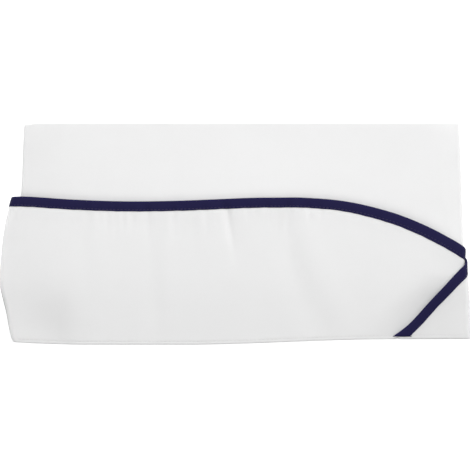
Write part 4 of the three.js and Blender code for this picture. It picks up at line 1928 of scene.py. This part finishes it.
@dataclass
class StitchRow:
    """A row of machine stitches along a layer.

    Attributes:
        name: of the piece.
        finish: the thread.
        slot: the record's slot that it stands for.
        pitch: from one stitch to the next.
        length: of a stitch.
        width: of the thread.
        sink: how deep its ends go into the cloth.
        proud: how far its middle line lies above the cloth.
        sides: of the thread's mesh.
    """

    name: str
    finish: ThreadFinish
    slot: str
    pitch: float = 2.6
    length: float = 2.1
    width: float = 0.34
    sink: float = 0.2
    proud: float = 0.06
    sides: int = 8

    def build(self, path: Array, outward: Array, shape: CapShape) -> bpy.types.Object:
        """Builds the stitches along a path.

        Args:
            path: points of the surface on which they lie, in cap millimetres.
            outward: the surface's normals at those points.
            shape: the cap.

        Returns:
            The mesh object.
        """
        distance = np.r_[0, np.cumsum(np.linalg.norm(np.diff(path, axis=0), axis=1))]
        profile = np.linspace(0, 1, 7)
        swell = np.array([0.45, 0.85, 1.0, 1.0, 1.0, 0.85, 0.45])
        height = self.proud - self.sink * np.array([1.0, 0.25, 0, 0, 0, 0.25, 1.0])
        angles = np.linspace(0, 2 * math.pi, self.sides, endpoint=False)[:, None]
        points, faces = [], []
        for start in np.arange(self.pitch, distance[-1] - self.pitch, self.pitch):
            along = start + profile * self.length
            centre, normal = (
                joined(*(np.interp(along, distance, line[:, k]) for k in range(3)))
                for line in (path, outward)
            )
            normal = unit(normal)
            sideways = unit(np.cross(normal, unit(np.gradient(centre, axis=0))))
            centre = centre + normal * height[:, None]
            round_it = sideways[:, None] * np.cos(angles) + normal[:, None] * np.sin(angles)
            ring = centre[:, None] + round_it * (self.width / 2 * swell)[:, None, None]
            shift = len(points) * profile.size * self.sides
            points.append(ring.reshape(-1, 3))
            faces += [
                tuple(v + shift for v in face) for face in tube_faces(profile.size, self.sides)
            ]
        thing = new_mesh(self.name, shape.to_frame(np.concatenate(points)), faces)
        make_outward(thing)
        dress(thing, self.finish.material())
        return thing


@dataclass
class Stitching:
    """All the stitches that show: along the hem, and along the inner edge of the binding.

    Attributes:
        cuff: the cuff that they hold.
        binding: its binding.
        pressed: how deep the rows lie in the cloth: the floor presses the left half's.
        hem_start: height at which the hem's row starts behind.
        inward: place of the binding's row across the tape, as a share of its width.
        tucked: how far a row runs on where it is out of sight.
        short: how far before the lap's tip the rows of the hem and the tape end.
        tape_sink: how deep the rows lie in the tape.
    """

    cuff: Cuff
    binding: Binding
    pressed: dict[Side, float] = field(default_factory=lambda: {Side.RIGHT: 0.0, Side.LEFT: 0.12})
    hem_start: float = 2.0
    inward: float = 0.85
    tucked: float = 2.0
    short: tuple[float, float] = (6.0, 8.0)
    tape_sink: float = 0.1

    def hem_row(self, side: Side) -> bpy.types.Object:
        """Builds the row along the hem of a half of the cuff.

        Args:
            side: which half.

        Returns:
            The mesh object.
        """
        shape = self.cuff.shape
        layer = self.cuff.layer(side)
        low = self.hem_start
        under_lap = float(shape.lap_edge(low)) + self.tucked
        end = under_lap if side is Side.RIGHT else shape.lap_tip - self.short[0]
        x = spaced((float(layer.back_centre(low)) - 1, 0.5), (end, 0))
        y = shape.hem(x) + self.cuff.seam_height
        lift = self.cuff.detail(side, x, y) + self.cuff.cloth / 2 - self.pressed[side]
        name = f"hem_stitches_{side.name.lower()}"
        row = StitchRow(name, WHITE_THREAD, "cuff_cloth")
        return row.build(layer.place(x, y, lift), layer.normal(x, y), shape)

    def tape_row(self, side: Side) -> bpy.types.Object:
        """Builds the row along the inner edge of a half's binding.

        Args:
            side: which half.

        Returns:
            The mesh object.
        """
        shape = self.cuff.shape
        layer = self.cuff.layer(side)
        edge = self.cuff.edge(side)
        end = layer.front_line if side is Side.RIGHT else shape.lap_tip - self.short[1]
        start = float(layer.back_centre(self.cuff.binding_height)) - self.tucked
        at = spaced((start, 0.5), (end, 0))
        slope = edge.slope(at)
        across = shape.tape_width * self.inward / np.hypot(1, slope)
        x, y = at + slope * across, edge(at) - across
        lift = self.cuff.detail(side, x, y) + self.binding.thickness / 2
        lift = lift - self.tape_sink - self.pressed[side]
        name = f"binding_stitches_{side.name.lower()}"
        row = StitchRow(name, NAVY_THREAD, "binding_tape", pitch=2.4, length=1.9, width=0.3)
        return row.build(layer.place(x, y, lift), layer.normal(x, y), shape)

    def build(self) -> dict[Side, list[bpy.types.Object]]:
        """Builds every row.

        Returns:
            The rows on each half of the cuff.
        """
        return {side: [self.hem_row(side), self.tape_row(side)] for side in Side}


# ---------------------------------------------------------------------------------------------
# Studio
# ---------------------------------------------------------------------------------------------


@dataclass(frozen=True)
class FloorFinish(Finish):
    """A pale floor that glows faintly, less so beneath the cap, and is clear from below.

    Attributes:
        tone: of the floor.
        grain: how much the tone varies.
        glow: of the light in the floor, which thins the shadows.
        covered_glow: of the same light beneath the cap.
        covered: half sizes of the part of the floor that lies well beneath the cap, in metres.
        glow_edge: width of the step between the two, in metres.
    """

    tone: float = 0.9
    grain: float = 0.02
    glow: float = 0.6
    covered_glow: float = 0.2
    covered: tuple[float, float] = (0.132, 0.052)
    glow_edge: float = 0.018

    def paint(self, nodes: NodeTree, shader: bpy.types.Node) -> None:
        """Writes the floor's tone and glow into the material.

        Args:
            nodes: the material's tree.
            shader: its Principled shader.
        """
        geometry = nodes.add("ShaderNodeNewGeometry").outputs
        grain = nodes.noise(geometry["Position"], 90.0)
        tone = nodes.math("MULTIPLY_ADD", grain, self.grain, self.tone)
        colour = nodes.add("ShaderNodeCombineColor", {0: tone, 1: tone, 2: tone})
        place = nodes.add("ShaderNodeSeparateXYZ", {0: geometry["Position"]}).outputs
        past = [
            nodes.math("SUBTRACT", nodes.math("ABSOLUTE", place[axis]), size)
            for axis, size in zip("XY", self.covered)
        ]
        share = nodes.clamp(nodes.math("DIVIDE", nodes.math("MAXIMUM", *past), self.glow_edge))
        step = self.glow - self.covered_glow
        nodes.feed(
            shader,
            {
                "Base Color": colour.outputs[0],
                "Roughness": 0.9,
                "Specular IOR Level": 0.0,
                "Emission Color": (1, 1, 1, 1),
                "Emission Strength": nodes.math("MULTIPLY_ADD", share, step, self.covered_glow),
            },
        )
        clear = nodes.add("ShaderNodeBsdfTransparent").outputs["BSDF"]
        mix = nodes.add(
            "ShaderNodeMixShader",
            {0: geometry["Backfacing"], 1: shader.outputs["BSDF"], 2: clear},
        )
        nodes.feed(nodes.tree.nodes["Material Output"], {"Surface": mix.outputs["Shader"]})


@dataclass(frozen=True)
class Softbox:
    """A square soft light that faces the cap.

    Attributes:
        name: of the light.
        place: where it hangs, in metres.
        size: of its side, in metres.
        power: in watts.
    """

    name: str
    place: tuple[float, float, float]
    size: float
    power: float

    def hang(self) -> bpy.types.Object:
        """Hangs the light in the scene.

        Returns:
            The light object.
        """
        data = bpy.data.lights.new(self.name, "AREA")
        data.shape = "SQUARE"
        data.size = self.size
        data.energy = self.power
        lamp = bpy.data.objects.new(self.name, data)
        lamp.location = self.place
        direction = -lamp.location.normalized()
        lamp.rotation_euler = direction.to_track_quat("-Z", "Y").to_euler()
        bpy.context.scene.collection.objects.link(lamp)
        return lamp


@dataclass
class Studio:
    """A pale floor under soft light, and a camera that looks straight down.

    Attributes:
        finish: of the floor.
        floor_lines: where its mesh is divided, both ways, in metres.
        floor_drop: how far it lies below the cap, in metres.
        softboxes: the lights.
        room_light: strength of the even white light of the room.
        camera_place: across and along from the middle of the cap, in metres.
        camera_height: above the cap, in metres.
        view_level: where the view has its width, as a share of the cap's thickness.
        view_width: width of what the camera sees there, in metres.
        sensor: width of the camera's sensor, in millimetres.
    """

    finish: FloorFinish = FloorFinish("pale_floor")
    floor_lines: tuple[float, ...] = (-4.0, -0.4, 0.4, 4.0)
    floor_drop: float = 0.0002
    softboxes: tuple[Softbox, ...] = (
        Softbox("key_softbox", place=(0.42, 2.45, 2.03), size=1.85, power=107.0),
        Softbox("fill_softbox", place=(-0.5, -1.0, 1.8), size=1.6, power=2.9),
    )
    room_light: float = 0.459
    camera_place: tuple[float, float] = (-0.0002, -0.0011)
    camera_height: float = 2.2
    view_level: float = 0.3
    view_width: float = 0.300095
    sensor: float = 36.0

    def floor(self) -> bpy.types.Object:
        """Lays the floor just under the cap.

        Returns:
            The mesh object.
        """
        z = CAD_BOX[0][2] - self.floor_drop
        lines = self.floor_lines
        size = len(lines)
        points = np.array([(x, y, z) for x in lines for y in lines])
        faces = [
            (size * i + j, size * (i + 1) + j, size * (i + 1) + j + 1, size * i + j + 1)
            for i in range(size - 1)
            for j in range(size - 1)
        ]
        floor = new_mesh("studio_floor", points, faces)
        floor.data.materials.append(self.finish.material())
        return floor

    def world(self) -> bpy.types.World:
        """Fills the room with an even white light.

        Returns:
            The world.
        """
        world = bpy.data.worlds.new("white_room")
        world.use_nodes = True
        background = world.node_tree.nodes["Background"]
        background.inputs["Color"].default_value = (1, 1, 1, 1)
        background.inputs["Strength"].default_value = self.room_light
        bpy.context.scene.world = world
        return world

    def camera(self) -> bpy.types.Object:
        """Sets the camera above the middle of the cap.

        Returns:
            The camera object.
        """
        data = bpy.data.cameras.new("camera")
        data.sensor_width = self.sensor
        data.lens = self.sensor * self.camera_height / self.view_width
        data.clip_start = 0.05
        data.clip_end = 50
        camera = bpy.data.objects.new("camera", data)
        level = CAD_BOX[1][2] * self.view_level
        camera.location = (*self.camera_place, level + self.camera_height)
        bpy.context.scene.collection.objects.link(camera)
        bpy.context.scene.camera = camera
        return camera

    def build(self) -> None:
        """Sets up the whole studio, with plain colours."""
        self.floor()
        for softbox in self.softboxes:
            softbox.hang()
        self.world()
        self.camera()
        view = bpy.context.scene.view_settings
        view.view_transform = "Standard"
        view.look = "None"


def main() -> None:
    """Builds the cap and the studio."""
    logging.basicConfig(level=logging.INFO, format="%(message)s")
    shape = CapShape()
    Studio().build()
    Crown(shape).build()
    cuff = Cuff(shape)
    halves = cuff.build()
    binding = Binding(cuff)
    tape = binding.build()
    rows = Stitching(cuff, binding).build()


if __name__ == "__main__":
    main()
